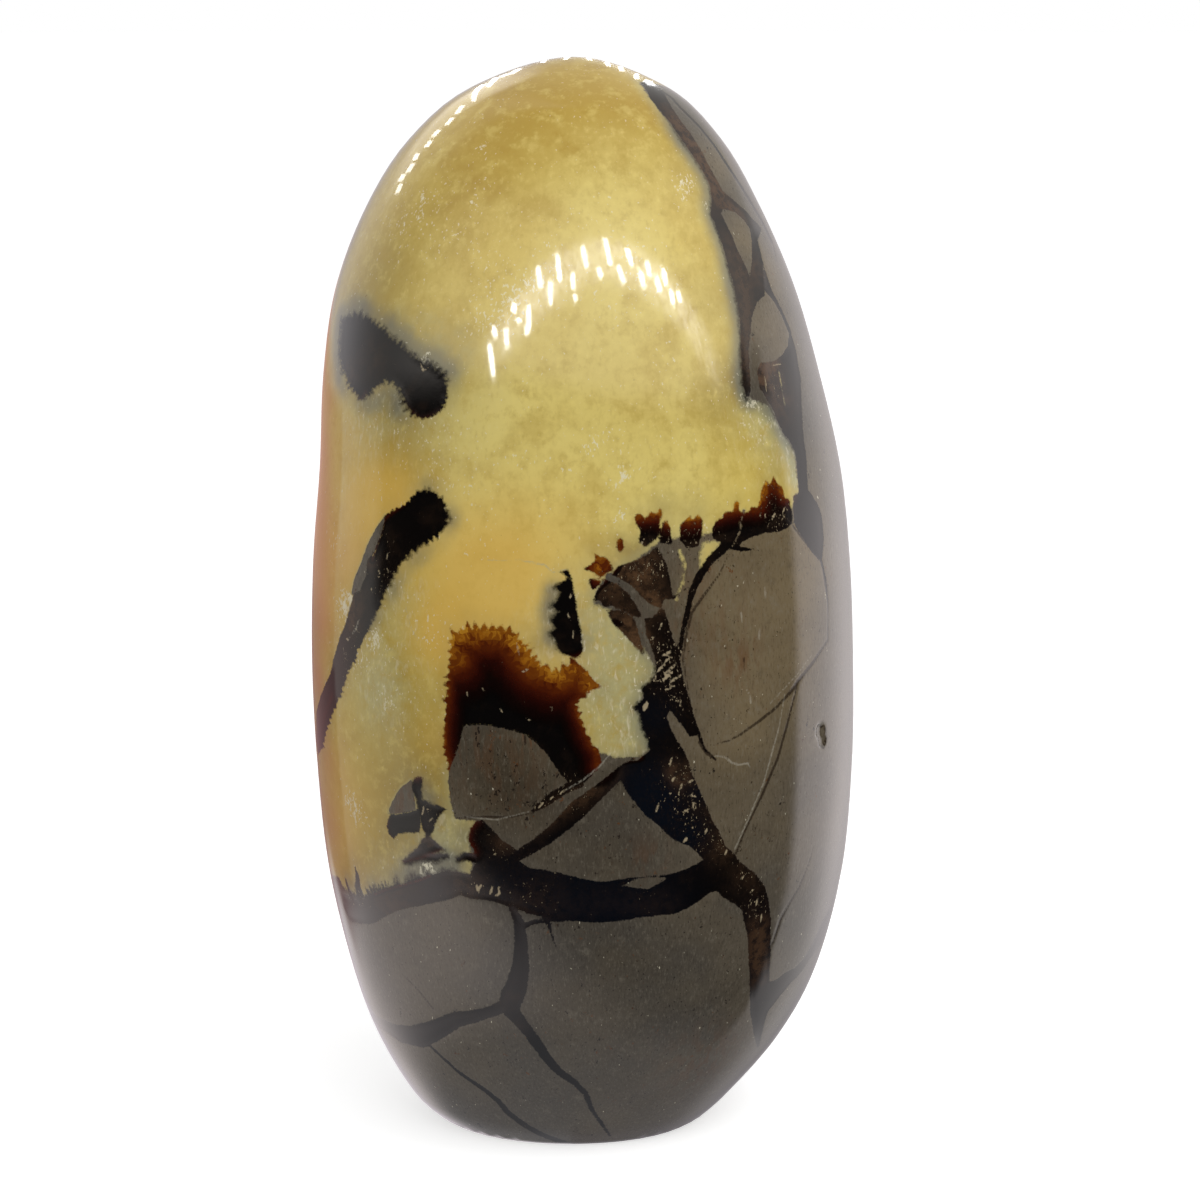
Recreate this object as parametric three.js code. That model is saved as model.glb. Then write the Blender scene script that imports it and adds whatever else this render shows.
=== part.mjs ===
// A septarian nodule: one polished egg of stone, ground flat underneath so that it stands upright.
// Millimetres, +Z up, origin at the centre of the flat base, front facing -Y, +X to its right.

import * as THREE from 'three';

// How far the stone reaches from the upright line through the centre of its base, at rising
// heights. The left side swells twice, and the right side leans out at mid height.
const STATIONS = [
  { height: 0, left: 19.6, right: 19.2, front: 16.0, back: 16.6 },
  { height: 4.2, left: 23.6, right: 23.3, front: 19.7, back: 19.6 },
  { height: 13, left: 28.3, right: 30.2, front: 24.8, back: 24.3 },
  { height: 23, left: 31.6, right: 35.1, front: 28.4, back: 27.4 },
  { height: 37, left: 34.6, right: 38.4, front: 31.2, back: 29.9 },
  { height: 52, left: 36.0, right: 39.5, front: 32.6, back: 31.1 },
  { height: 67, left: 36.5, right: 39.4, front: 33.0, back: 31.4 },
  { height: 81, left: 36.1, right: 38.7, front: 32.6, back: 31.0 },
  { height: 94, left: 35.0, right: 37.2, front: 31.6, back: 30.0 },
  { height: 107, left: 34.3, right: 34.1, front: 29.6, back: 28.1 },
  { height: 119, left: 32.4, right: 30.5, front: 26.8, back: 25.4 },
  { height: 130, left: 28.1, right: 25.6, front: 22.9, back: 21.7 },
  { height: 139, left: 22.2, right: 20.3, front: 17.9, back: 17.0 },
  { height: 146, left: 13.6, right: 12.8, front: 11.2, back: 10.7 },
  { height: 150, left: -0.2, right: 0.2, front: 0, back: 0 },
];
const SQUARENESS = 0.02; // the sections bulge by this share at their four corners
const RINGS_PER_STATION = 3;
const POINTS_AROUND = 64;

const STONE = { color: 0x9b8c66, roughness: 0.12, metalness: 0 };

// A station as an ellipse: its height, the place of its centre and its half widths.
function ellipseOf({ height, left, right, front, back }) {
  return [height, (right - left) / 2, (right + left) / 2, (back - front) / 2, (back + front) / 2];
}

// One past the top, the ellipse mirrored through the crown, so that the crown is round.
function mirrored([height, centreX, halfX, centreY, halfY]) {
  return [height, centreX, -halfX, centreY, -halfY];
}

// One below the base, in line with the first two.
function extended(first, second) {
  return first.map((value, i) => 2 * value - second[i]);
}

// A Catmull-Rom step between b and c, at share t of the way.
function between(a, b, c, d, t) {
  return b.map((start, i) => {
    const slopeIn = (c[i] - a[i]) / 2;
    const slopeOut = (d[i] - b[i]) / 2;
    const square = 3 * (c[i] - start) - 2 * slopeIn - slopeOut;
    const cube = 2 * (start - c[i]) + slopeIn + slopeOut;
    return start + t * (slopeIn + t * (square + t * cube));
  });
}

// The ellipses of every ring from the base up to just below the crown.
function ringEllipses() {
  const rows = STATIONS.map(ellipseOf);
  const last = rows.length - 1;
  const row = (i) => {
    if (i < 0) return extended(rows[0], rows[1]);
    if (i > last) return mirrored(rows[last - 1]);
    return rows[i];
  };
  const rings = [];
  for (let i = 0; i < last; i += 1) {
    for (let step = 0; step < RINGS_PER_STATION; step += 1) {
      const share = step / RINGS_PER_STATION;
      rings.push(between(row(i - 1), row(i), row(i + 1), row(i + 2), share));
    }
  }
  return rings;
}

// A point of a ring. The angle is 0 at the front and grows towards the right.
function ringPoint([height, centreX, halfX, centreY, halfY], angle) {
  const bulge = 1 + SQUARENESS * (1 - Math.cos(4 * angle)) / 2;
  const x = centreX + halfX * bulge * Math.sin(angle);
  const y = centreY - halfY * bulge * Math.cos(angle);
  return [x, y, height];
}

// The closed skin: rings joined by quads, a fan over the crown and a fan under the flat base.
function nodule() {
  const rings = ringEllipses();
  const positions = [];
  for (const ring of rings) {
    for (let k = 0; k < POINTS_AROUND; k += 1) {
      positions.push(...ringPoint(ring, 2 * Math.PI * k / POINTS_AROUND));
    }
  }
  const crown = positions.length / 3;
  const top = ellipseOf(STATIONS[STATIONS.length - 1]);
  positions.push(...ringPoint(top, 0));
  const baseCentre = crown + 1;
  positions.push(0, 0, 0);

  const faces = [];
  const topRing = (rings.length - 1) * POINTS_AROUND;
  for (let k = 0; k < POINTS_AROUND; k += 1) {
    const next = (k + 1) % POINTS_AROUND;
    for (let r = 0; r < rings.length - 1; r += 1) {
      const low = r * POINTS_AROUND;
      const high = low + POINTS_AROUND;
      faces.push(low + k, low + next, high + next);
      faces.push(low + k, high + next, high + k);
    }
    faces.push(topRing + k, topRing + next, crown);
    faces.push(next, k, baseCentre);
  }

  const geometry = new THREE.BufferGeometry();
  geometry.setAttribute('position', new THREE.Float32BufferAttribute(positions, 3));
  geometry.setIndex(faces);
  geometry.computeVertexNormals();
  const mesh = new THREE.Mesh(geometry, new THREE.MeshStandardMaterial(STONE));
  mesh.name = 'nodule';
  return mesh;
}

const part = new THREE.Group();
part.add(nodule());

export default part;
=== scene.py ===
"""A polished septarian nodule: grey mudstone, brown-black veins and cloudy yellow calcite."""

import math

import bpy
import numpy as np
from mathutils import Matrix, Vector
from mathutils.bvhtree import BVHTree


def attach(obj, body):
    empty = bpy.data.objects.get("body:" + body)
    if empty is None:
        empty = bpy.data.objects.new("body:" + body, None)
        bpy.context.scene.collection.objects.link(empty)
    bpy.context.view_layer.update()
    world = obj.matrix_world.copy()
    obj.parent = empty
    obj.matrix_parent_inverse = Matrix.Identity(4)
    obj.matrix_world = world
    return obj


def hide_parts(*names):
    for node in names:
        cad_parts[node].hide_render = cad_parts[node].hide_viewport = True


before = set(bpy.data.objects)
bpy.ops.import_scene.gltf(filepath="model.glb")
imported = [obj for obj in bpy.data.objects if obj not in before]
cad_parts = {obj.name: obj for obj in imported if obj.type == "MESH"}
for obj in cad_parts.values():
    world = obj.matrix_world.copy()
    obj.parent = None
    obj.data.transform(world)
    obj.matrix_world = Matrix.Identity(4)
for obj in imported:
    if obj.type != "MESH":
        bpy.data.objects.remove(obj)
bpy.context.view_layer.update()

MM = 0.001  # scene.py works in millimetres and makes its meshes in metres


# ---------------------------------------------------------------- the stone's form

# Height, then the reach to the left, right, front and back, as in the CAD source.
STATIONS = [
    (0, 19.6, 19.2, 16.0, 16.6),
    (4.2, 23.6, 23.3, 19.7, 19.6),
    (13, 28.3, 30.2, 24.8, 24.3),
    (23, 31.6, 35.1, 28.4, 27.4),
    (37, 34.6, 38.4, 31.2, 29.9),
    (52, 36.0, 39.5, 32.6, 31.1),
    (67, 36.5, 39.4, 33.0, 31.4),
    (81, 36.1, 38.7, 32.6, 31.0),
    (94, 35.0, 37.2, 31.6, 30.0),
    (107, 34.3, 34.1, 29.6, 28.1),
    (119, 32.4, 30.5, 26.8, 25.4),
    (130, 28.1, 25.6, 22.9, 21.7),
    (139, 22.2, 20.3, 17.9, 17.0),
    (146, 13.6, 12.8, 11.2, 10.7),
    (150, -0.2, 0.2, 0, 0),
]
SQUARENESS = 0.02
RIM_HEIGHT = 0.7  # the edge of the flat base is rounded below this height
RIM_INSET = 0.45
RIM_RADIUS = 20  # the base's own radius, roughly
CROWN = len(STATIONS) - 1  # the level of the crown; level 0 is the base's edge, -1 its centre


def section_rows():
    """Each station as a rounded section: height, centre x, half width, centre y, half depth."""
    height, left, right, front, back = np.array(STATIONS, float).T
    rows = [height, (right - left) / 2, (right + left) / 2, (back - front) / 2, (back + front) / 2]
    return np.stack(rows, axis=1)


def section_at(level):
    """The sections at these levels, on a Catmull-Rom curve through the stations."""
    rows = section_rows()
    mirrored = rows[-2] * [1, 1, -1, 1, -1]
    extended = 2 * rows[0] - rows[1]
    rows = np.vstack([extended, rows, mirrored])
    level = np.clip(level, 0, CROWN)
    i = np.minimum(level.astype(int), CROWN - 1)
    t = (level - i)[:, None]
    a, b, c, d = rows[i], rows[i + 1], rows[i + 2], rows[i + 3]
    slope_in, slope_out = (c - a) / 2, (d - b) / 2
    square = 3 * (c - b) - 2 * slope_in - slope_out
    cube = 2 * (b - c) + slope_in + slope_out
    return b + t * (slope_in + t * (square + t * cube))


def surface_point(level, azimuth):
    """Points of the smooth surface. Azimuth, in radians, is 0 at the front and grows to the right."""
    level, azimuth = np.atleast_1d(level).astype(float), np.atleast_1d(azimuth).astype(float)
    height, centre_x, half_x, centre_y, half_y = section_at(level).T
    bulge = 1 + SQUARENESS * (1 - np.cos(4 * azimuth)) / 2
    bulge = bulge - RIM_INSET / RIM_RADIUS * np.clip(1 - height / RIM_HEIGHT, 0, 1) ** 2
    inward = np.clip(1 + level, 0, 1)  # below level 0 the point lies on the flat base
    x = (centre_x + half_x * bulge * np.sin(azimuth)) * inward
    y = (centre_y - half_y * bulge * np.cos(azimuth)) * inward
    return np.stack([x, y, height], axis=1)


LEVEL_COUNT = 1401
LEVELS = np.linspace(0, CROWN, LEVEL_COUNT)
LEVEL_HEIGHTS = section_at(LEVELS)[:, 0]


def level_of(height):
    """The level whose section lies at this height."""
    return np.interp(height, LEVEL_HEIGHTS, LEVELS)


SMALLEST_REACH = 1e-6  # mm, stands in for the section's half width at the crown, which is zero


def azimuth_of(points, level):
    """The azimuth of points, about the centre of the section at their level."""
    section = section_at(level)
    return np.arctan2(
        (points[:, 0] - section[:, 1]) / np.maximum(section[:, 2], SMALLEST_REACH),
        -(points[:, 1] - section[:, 3]) / np.maximum(section[:, 4], SMALLEST_REACH),
    )


# ---------------------------------------------------------------- the camera

PICTURE = 1200  # pixels, each way
PIXELS_PER_MM = 7.13  # at the stone's middle
CAMERA_DISTANCE = 460
CAMERA_ELEVATION = math.radians(12)
STONE_MIDDLE = Vector((0, 0, 75))
MIDDLE_PIXEL = (572.2, 598.0)  # where the stone's middle lies in the picture
SENSOR = 36
CLIP_START = 0.01  # metres

LOOK = Vector((0, math.cos(CAMERA_ELEVATION), -math.sin(CAMERA_ELEVATION)))
RIGHT = Vector((1, 0, 0))
UP = RIGHT.cross(LOOK)
CAMERA_PLACE = STONE_MIDDLE - LOOK * CAMERA_DISTANCE


def make_camera():
    """The camera, whose sideways and upward shifts put the stone where the picture has it."""
    data = bpy.data.cameras.new("camera")
    data.sensor_width = SENSOR
    data.lens = SENSOR * PIXELS_PER_MM * CAMERA_DISTANCE / PICTURE
    data.shift_x = (PICTURE / 2 - MIDDLE_PIXEL[0]) / PICTURE
    data.shift_y = (MIDDLE_PIXEL[1] - PICTURE / 2) / PICTURE
    data.clip_start = CLIP_START
    camera = bpy.data.objects.new("camera", data)
    bpy.context.scene.collection.objects.link(camera)
    camera.location = CAMERA_PLACE * MM
    camera.rotation_euler = (math.pi / 2 - CAMERA_ELEVATION, 0, 0)
    bpy.context.scene.camera = camera


def pixel_ray(x, y):
    """The direction from the camera through a pixel."""
    across = (x - MIDDLE_PIXEL[0]) / PIXELS_PER_MM
    upward = (MIDDLE_PIXEL[1] - y) / PIXELS_PER_MM
    return (LOOK * CAMERA_DISTANCE + RIGHT * across + UP * upward).normalized()


def ring_corners(rings, around):
    """The vertices of each quad between rings of vertices: an array for each of the four corners."""
    ring, place = np.meshgrid(np.arange(rings - 1), np.arange(around), indexing="ij")
    low, after = ring * around, (place + 1) % around
    return low + place, low + after, low + around + after, low + around + place


AIM_RINGS = 260
AIM_AROUND = 240
AIM_TOP = CROWN - 0.001  # the level of the last ring, which the crown's single point would spoil


def aiming_skin():
    """The smooth surface above the base, to find what a pixel shows."""
    turn = np.linspace(0, 2 * math.pi, AIM_AROUND, endpoint=False)
    level, azimuth = np.meshgrid(np.linspace(0, AIM_TOP, AIM_RINGS), turn, indexing="ij")
    points = surface_point(level.ravel(), azimuth.ravel())
    quads = np.stack(ring_corners(AIM_RINGS, AIM_AROUND), axis=-1).reshape(-1, 4)
    return BVHTree.FromPolygons([tuple(p) for p in points], [tuple(q) for q in quads.tolist()])


AIM = aiming_skin()
STEP_ACROSS = 1  # pixels, the steps that are taken inwards from a pixel beside the stone
STEP_DOWN = 0.3


def hit(x, y):
    """The point of the stone seen at a pixel, or at the first one inwards from it that shows the stone."""
    while True:
        place, _, _, _ = AIM.ray_cast(CAMERA_PLACE, pixel_ray(x, y))
        if place is not None:
            return place
        x += STEP_ACROSS if x < MIDDLE_PIXEL[0] else -STEP_ACROSS
        y += STEP_DOWN if y < MIDDLE_PIXEL[1] else -STEP_DOWN


# ---------------------------------------------------------------- outlines on the stone

STEP_PIXELS = 5  # between the points of an outline that is laid on the stone
STEP_DEGREES = 3
STEP_HEIGHT = 1.5  # mm
BEAD_STEP = 12  # pixels between the spots that make a soft line


def in_steps(pixels, step):
    """Pixels at even steps along the lines between pixels, without the last one."""
    made = []
    for (x0, y0), (x1, y1) in zip(pixels, pixels[1:]):
        steps = max(1, round(math.hypot(x1 - x0, y1 - y0) / step))
        made += [(x0 + (x1 - x0) * i / steps, y0 + (y1 - y0) * i / steps) for i in range(steps)]
    return made


def seen(*pixels):
    """A path on the stone through pixels, as (azimuth in degrees, height in mm) rows."""
    rows = []
    for x, y in [*in_steps(pixels, STEP_PIXELS), pixels[-1]]:
        place = hit(x, y)
        level = level_of(place.z)
        azimuth = azimuth_of(np.array([place]), np.array([level]))[0]
        rows.append((math.degrees(azimuth), place.z))
    return rows


def round_the_side(*rows):
    """A path on the stone given by (azimuth in degrees, height in mm), for what the front doesn't show."""
    return [tuple(map(float, row)) for row in rows]


def on_stone(rows):
    """A path's rows as points on the surface, with more points where the azimuth or height moves far."""
    azimuth, height = np.array(rows, float).T
    azimuth = np.degrees(np.unwrap(np.radians(azimuth)))
    reach = np.maximum(np.abs(np.diff(azimuth)) / STEP_DEGREES, np.abs(np.diff(height)) / STEP_HEIGHT)
    steps = np.maximum(1, np.round(reach).astype(int))
    place = [np.linspace(i, i + 1, n, endpoint=False) for i, n in enumerate(steps)]
    place = np.append(np.concatenate(place), len(rows) - 1)
    index = np.arange(len(rows))
    azimuth, height = np.interp(place, index, azimuth), np.interp(place, index, height)
    return surface_point(level_of(height), np.radians(azimuth)), place


CHART_TOP = STATIONS[-1][0] + 0.2  # mm, the height of the chart's middle, just above the crown


def chart(points):
    """The stone laid flat as a disc with the crown near its middle, so that an outline is a plane figure."""
    radius = np.sqrt(np.maximum(CHART_TOP - points[:, 2], 0))
    azimuth = azimuth_of(points, level_of(points[:, 2]))
    return np.stack([radius * np.sin(azimuth), radius * np.cos(azimuth)], axis=1)


REACH = 6.0  # mm, how far from an outline its distance is worked out
SEGMENTS_TOGETHER = 12
SMALLEST_SQUARE = 1e-12  # stands in for the square of a length that is zero


def nearest_on(points, path, reach=REACH):
    """For each point: distance to the path, the segment nearest it and the share along that segment."""
    found = np.full(len(points), reach)
    segment = np.zeros(len(points), int)
    share = np.zeros(len(points))
    for start in range(0, len(path) - 1, SEGMENTS_TOGETHER):
        ends = path[start : start + SEGMENTS_TOGETHER + 1]
        low, high = ends.min(0) - reach, ends.max(0) + reach
        near = np.nonzero(((points > low) & (points < high)).all(axis=1))[0]
        if len(near) == 0:
            continue
        p = points[near]
        for i in range(len(ends) - 1):
            edge = ends[i + 1] - ends[i]
            along = np.clip((p - ends[i]) @ edge / max(edge @ edge, SMALLEST_SQUARE), 0, 1)
            away = np.linalg.norm(p - ends[i] - along[:, None] * edge, axis=1)
            better = away < found[near]
            rows = near[better]
            found[rows] = away[better]
            segment[rows] = start + i
            share[rows] = along[better]
    return found, segment, share


def inside(points, path):
    """True for each point within the closed path, by even-odd crossings in the chart."""
    p, q = chart(points), chart(path)
    low, high = q.min(0), q.max(0)
    near = np.nonzero(((p >= low) & (p <= high)).all(axis=1))[0]
    x, y = p[near].T
    odd = np.zeros(len(near), bool)
    for (x0, y0), (x1, y1) in zip(q, np.roll(q, -1, axis=0)):
        if y0 == y1:
            continue
        crosses = (y0 > y) != (y1 > y)
        odd ^= crosses & (x < (x1 - x0) * (y - y0) / (y1 - y0) + x0)
    result = np.zeros(len(points), bool)
    result[near] = odd
    return result


def area(rows):
    """A measure of points: signed distance in mm to a closed outline, positive inside it."""
    path, _ = on_stone(rows + rows[:1])

    def measure(points):
        away, _, _ = nearest_on(points, path)
        return np.where(inside(points, path[:-1]), away, -away)

    return measure


def stroke(rows, widths):
    """A measure of points: signed distance in mm to a vein's edge along a path, positive in the vein."""
    path, place = on_stone(rows)
    known = np.linspace(0, len(rows) - 1, len(widths))

    def measure(points):
        away, segment, share = nearest_on(points, path)
        where = place[segment] + share * (place[segment + 1] - place[segment])
        return np.interp(where, known, widths) / 2 - away

    return measure


NO_AMBER = 2  # the measure of what lies beyond an amber edge's depth


def depth(rows, deep, start):
    """A measure of points: how far they lie into the amber's tones, from 0, golden, to 1, black.

    It grows from start at the path to start + 1 at the depth, in mm. With it comes how far along the path,
    in mm, the nearest point lies.
    """
    path, _ = on_stone(rows)
    lengths = np.linalg.norm(np.diff(path, axis=0), axis=1)
    starts = np.append(0, np.cumsum(lengths))

    def measure(points):
        away, segment, share = nearest_on(points, path, deep)
        tone = np.where(away < deep, start + away / deep, NO_AMBER)
        return tone, starts[segment] + share * lengths[segment]

    return measure


def spots(places, round_places=()):
    """A measure of points: the sum of soft round spots, each a pixel, a radius in mm and a strength.

    The round places are given by azimuth in degrees and height in mm instead of a pixel.
    """
    rows = [(np.array(hit(x, y)), radius, strength) for x, y, radius, strength in places]
    for azimuth, height, radius, strength in round_places:
        rows.append((surface_point(level_of(height), math.radians(azimuth))[0], radius, strength))

    def measure(points):
        total = np.zeros(len(points))
        for centre, radius, strength in rows:
            total += strength * np.exp(-((points - centre) ** 2).sum(axis=1) / radius**2)
        return np.clip(total, 0, 1)

    return measure


def beads(pixels, radius, strength):
    """Soft spots in a line through pixels: a radius in mm and a strength for each."""
    return [(x, y, radius, strength) for x, y in in_steps(pixels, BEAD_STEP)]


# ---------------------------------------------------------------- teeth

TEETH_SEED = 7
TIP_SHIFT = 0.2  # how far a tip may stray from its tooth's middle, as a share of the tooth's width
LOWEST_TOOTH = 0.35  # shares of the height that is asked for
TALLEST_TOOTH = 1.25


def toothed(pixels, width, height, seed=TEETH_SEED):
    """A line of pixels with triangular crystal teeth standing out on its left-hand side, going along it."""
    draw = np.random.default_rng(seed)
    made = [pixels[0]]
    for (x0, y0), (x1, y1) in zip(pixels, pixels[1:]):
        length = math.hypot(x1 - x0, y1 - y0)
        count = max(1, round(length / width))
        out_x, out_y = (y1 - y0) / length, -(x1 - x0) / length
        for i in range(count):
            tip = (i + 0.5 + draw.uniform(-TIP_SHIFT, TIP_SHIFT)) / count
            tall = height * draw.uniform(LOWEST_TOOTH, TALLEST_TOOTH)
            made.append((x0 + (x1 - x0) * tip + out_x * tall, y0 + (y1 - y0) * tip + out_y * tall))
            foot = (i + 1) / count
            made.append((x0 + (x1 - x0) * foot, y0 + (y1 - y0) * foot))
    return made


# ---------------------------------------------------------------- the markings, as pixels of the picture

# The edge of the pale calcite, from the crown down its right side and back along its lower edge.
CALCITE_RIGHT_EDGE = [
    (640, 82), (650, 98), (662, 113), (672, 125), (682, 140), (696, 160), (704, 173), (710, 186),
    (712, 200), (712, 214), (720, 234), (724, 250), (728, 266), (732, 278), (736, 290), (740, 308),
    (742, 337), (744, 365), (745, 397), (755, 400), (764, 403), (772, 408), (778, 422), (784, 434),
    (790, 441), (795, 452), (796, 465), (798, 480), (799, 494), (790, 512), (765, 522), (740, 528),
    (706, 535), (680, 537), (662, 540), (650, 550), (636, 560), (610, 574), (600, 584), (594, 604),
    (612, 610), (620, 624), (630, 640), (644, 648), (652, 660), (656, 672), (648, 688), (640, 702),
    (642, 716), (649, 735), (652, 748), (640, 759), (615, 757), (598, 752),
]
CALCITE_UNDER_PATCH = [(586, 776), (550, 750), (500, 728), (462, 732), (451, 768)]
CALCITE_LOWER_EDGE = [
    (449, 780), (451, 800), (455, 817), (476, 820), (469, 838), (472, 860), (470, 874), (445, 872),
    (430, 876), (418, 881), (400, 886), (385, 890), (374, 895), (366, 899), (357, 897), (349, 892),
    (343, 886), (339, 878),
]

# Dark calcite within the pale, edged with crystal teeth. The last numbers are a tooth's width and height.
UPPER_BLOB = toothed(
    [(343, 325), (346, 319), (358, 317), (372, 322), (381, 331), (400, 347), (415, 359), (436, 370),
     (444, 379), (446, 394), (441, 410), (430, 417), (420, 418), (411, 410), (405, 399), (401, 389),
     (393, 381), (387, 377), (372, 388), (362, 398), (353, 388), (346, 374), (341, 356), (343, 325)], 5, 4)
CLUB = toothed(
    [(384, 519), (390, 512), (400, 508), (410, 501), (415, 495), (421, 492), (432, 492), (438, 498),
     (444, 503), (446, 514), (445, 526), (439, 534), (428, 540), (418, 546), (405, 555), (398, 566),
     (390, 580), (382, 594), (378, 608), (373, 602), (371, 590), (370, 575), (374, 556),
     (380, 538)], 7, 4, seed=3)
CLUB_STRIP = toothed(
    [(386, 566), (384, 590), (378, 606), (373, 616), (367, 630), (361, 644), (357, 650), (355, 660),
     (348, 671), (344, 683), (340, 694), (336, 704), (331, 715), (327, 726), (324, 738),
     (321, 750)], 5, 3, seed=5)
CLUB_STRIP += [
    (318, 756), (316, 740), (316, 712), (320, 697), (325, 684), (330, 673), (334, 656), (339, 638),
    (345, 624), (349, 609), (355, 588), (363, 562), (367, 550),
]
PATCH_EDGE = [
    (450, 772), (445, 750), (444, 732), (447, 705), (449, 680), (451, 655), (452, 638), (464, 630),
    (480, 629), (497, 628), (512, 633), (522, 645), (530, 656), (540, 666), (552, 672), (560, 671),
    (568, 666), (578, 662), (586, 670), (591, 682), (587, 692), (580, 699), (575, 705), (580, 718),
    (586, 734), (592, 745), (600, 755), (598, 766), (588, 779), (572, 788),
]
PATCH_TOP = [
    *toothed(PATCH_EDGE[:4], 9, 3),
    *toothed(PATCH_EDGE[3:7], 9, 6)[1:],
    *toothed(PATCH_EDGE[6:11], 9, 9)[1:],
    *toothed(PATCH_EDGE[10:18], 9, 7)[1:],
    (589, 672), (593, 679), (604, 688), (591, 690), (587, 697),
    *toothed(PATCH_EDGE[20:], 9, 4),
]
PATCH_UNDER = [(566, 781), (530, 770), (480, 760), (454, 772)]
# A comb of dark points, the brown crystals along the pale field's lower right edge and the tops of those.
DASH = [
    (568, 568), (560, 572), (567, 578), (554, 587), (561, 592), (557, 602), (552, 606), (560, 612),
    (551, 620), (556, 628), (550, 633), (556, 640), (557, 648), (564, 655), (574, 658), (580, 657),
    (583, 649), (582, 638), (580, 626), (577, 611), (576, 599), (574, 589), (572, 577),
]
BAND_PIECES = [
    [(634, 515), (640, 512), (645, 519), (651, 511), (657, 514), (660, 507), (663, 512), (660, 524),
     (661, 534), (655, 541), (645, 548), (638, 541), (640, 531), (635, 523)],
    [(662, 523), (668, 519), (671, 530), (673, 545), (665, 544), (658, 541), (660, 531)],
    [(679, 525), (685, 520), (690, 515), (693, 519), (698, 514), (704, 520), (702, 535), (699, 546),
     (687, 549), (680, 540)],
    [(712, 528), (716, 520), (722, 518), (724, 512), (733, 511), (735, 500), (739, 502), (740, 511),
     (748, 512), (752, 506), (758, 507), (760, 499), (761, 489), (766, 480), (770, 484), (774, 475),
     (778, 484), (783, 487), (785, 497), (790, 499), (792, 510), (793, 523), (786, 529), (778, 532),
     (765, 533), (750, 538), (742, 543), (736, 549), (728, 548), (722, 543), (712, 538)],
]
BAND_TOP = [
    (634, 512), (663, 510), (671, 519), (700, 515), (735, 504), (758, 502), (766, 480), (775, 476),
    (786, 492),
]
AMBER_CRYSTALS = [
    [(594, 553), (601, 556), (606, 557), (611, 562), (613, 570), (606, 575), (600, 578), (592, 572),
     (581, 569), (590, 564), (595, 560)],
    [(590, 578), (600, 580), (605, 578), (598, 587), (592, 592), (589, 584)],
    [(618, 538), (622, 537), (625, 548), (620, 554), (616, 548)],
]
# Smoky pieces beside the veins, and the dark calcite that branches through the mudstone.
FRAGMENTS = [
    [(657, 546), (645, 556), (630, 562), (618, 566), (611, 574), (622, 580), (632, 586), (640, 596),
     (652, 606), (662, 609), (664, 600), (673, 598), (671, 583), (667, 564)],
    [(607, 578), (618, 584), (628, 592), (636, 604), (642, 616), (638, 618), (625, 612), (612, 606),
     (603, 607), (600, 600), (592, 602), (596, 592), (602, 586)],
    [(606, 610), (620, 610), (634, 618), (637, 626), (641, 640), (644, 654), (637, 649), (627, 638),
     (613, 624)],
    [(390, 814), (402, 813), (414, 810), (421, 808), (421, 820), (420, 833), (410, 833), (398, 834),
     (394, 840), (388, 834), (386, 825)],
    [(412, 780), (418, 776), (423, 778), (421, 790), (422, 800), (430, 803), (438, 806), (447, 809),
     (440, 815), (435, 825), (434, 832), (428, 836), (422, 830), (419, 815), (416, 800), (412, 790)],
    [(422, 838), (430, 836), (436, 842), (444, 850), (430, 854), (420, 860), (405, 864), (402, 862),
     (410, 854), (418, 847)],
]
TRUNK = [
    (644, 617), (656, 611), (664, 609), (668, 620), (673, 638), (679, 652), (681, 665), (684, 680),
    (690, 700), (694, 715), (700, 732), (706, 749), (716, 760), (704, 751), (697, 735), (690, 737),
    (684, 728), (676, 718), (670, 711), (667, 717), (671, 728), (678, 742), (684, 750), (688, 760),
    (694, 778), (702, 795), (708, 808), (713, 822), (720, 833), (726, 846), (733, 852), (740, 861),
    (748, 868), (757, 875), (764, 885), (769, 900), (771, 920), (771, 955), (769, 982), (776, 980),
    (785, 973), (795, 968), (803, 960), (812, 945), (824, 918), (836, 900), (840, 915), (828, 932),
    (818, 948), (808, 962), (800, 974), (790, 984), (780, 996), (768, 1012), (764, 1025), (758, 1052),
    (753, 1030), (750, 1010), (750, 990), (749, 965), (748, 940), (745, 925), (742, 910), (736, 905),
    (725, 899), (717, 891), (708, 894), (697, 903), (688, 908), (675, 914), (655, 916), (640, 918),
    (620, 921), (600, 923), (580, 922), (560, 920), (545, 918), (530, 914), (506, 906), (495, 902),
    (483, 900), (470, 899), (461, 895), (448, 900), (430, 904), (415, 907), (400, 910), (390, 914),
    (380, 920), (372, 924), (360, 924), (350, 921), (346, 912), (343, 904), (342, 893), (346, 895),
    *toothed([(349, 896), (357, 898), (368, 896), (374, 893), (385, 889), (400, 885)], 3.2, 8, seed=9),
    *toothed([(404, 884), (418, 880), (430, 875)], 4, 5, seed=9),
    (445, 871), (458, 872), (470, 874), (476, 862), (474, 850), (468, 840), (470, 829), (476, 821),
    (483, 820), (492, 829), (503, 841), (517, 850), (533, 839), (548, 827), (560, 815), (570, 803),
    (583, 794), (600, 782), (612, 772), (625, 762), (638, 760), (650, 750), (647, 738), (642, 727),
    (640, 715), (634, 708), (644, 698), (641, 687), (650, 683), (656, 673), (655, 658), (651, 646),
    (646, 634),
]
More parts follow.
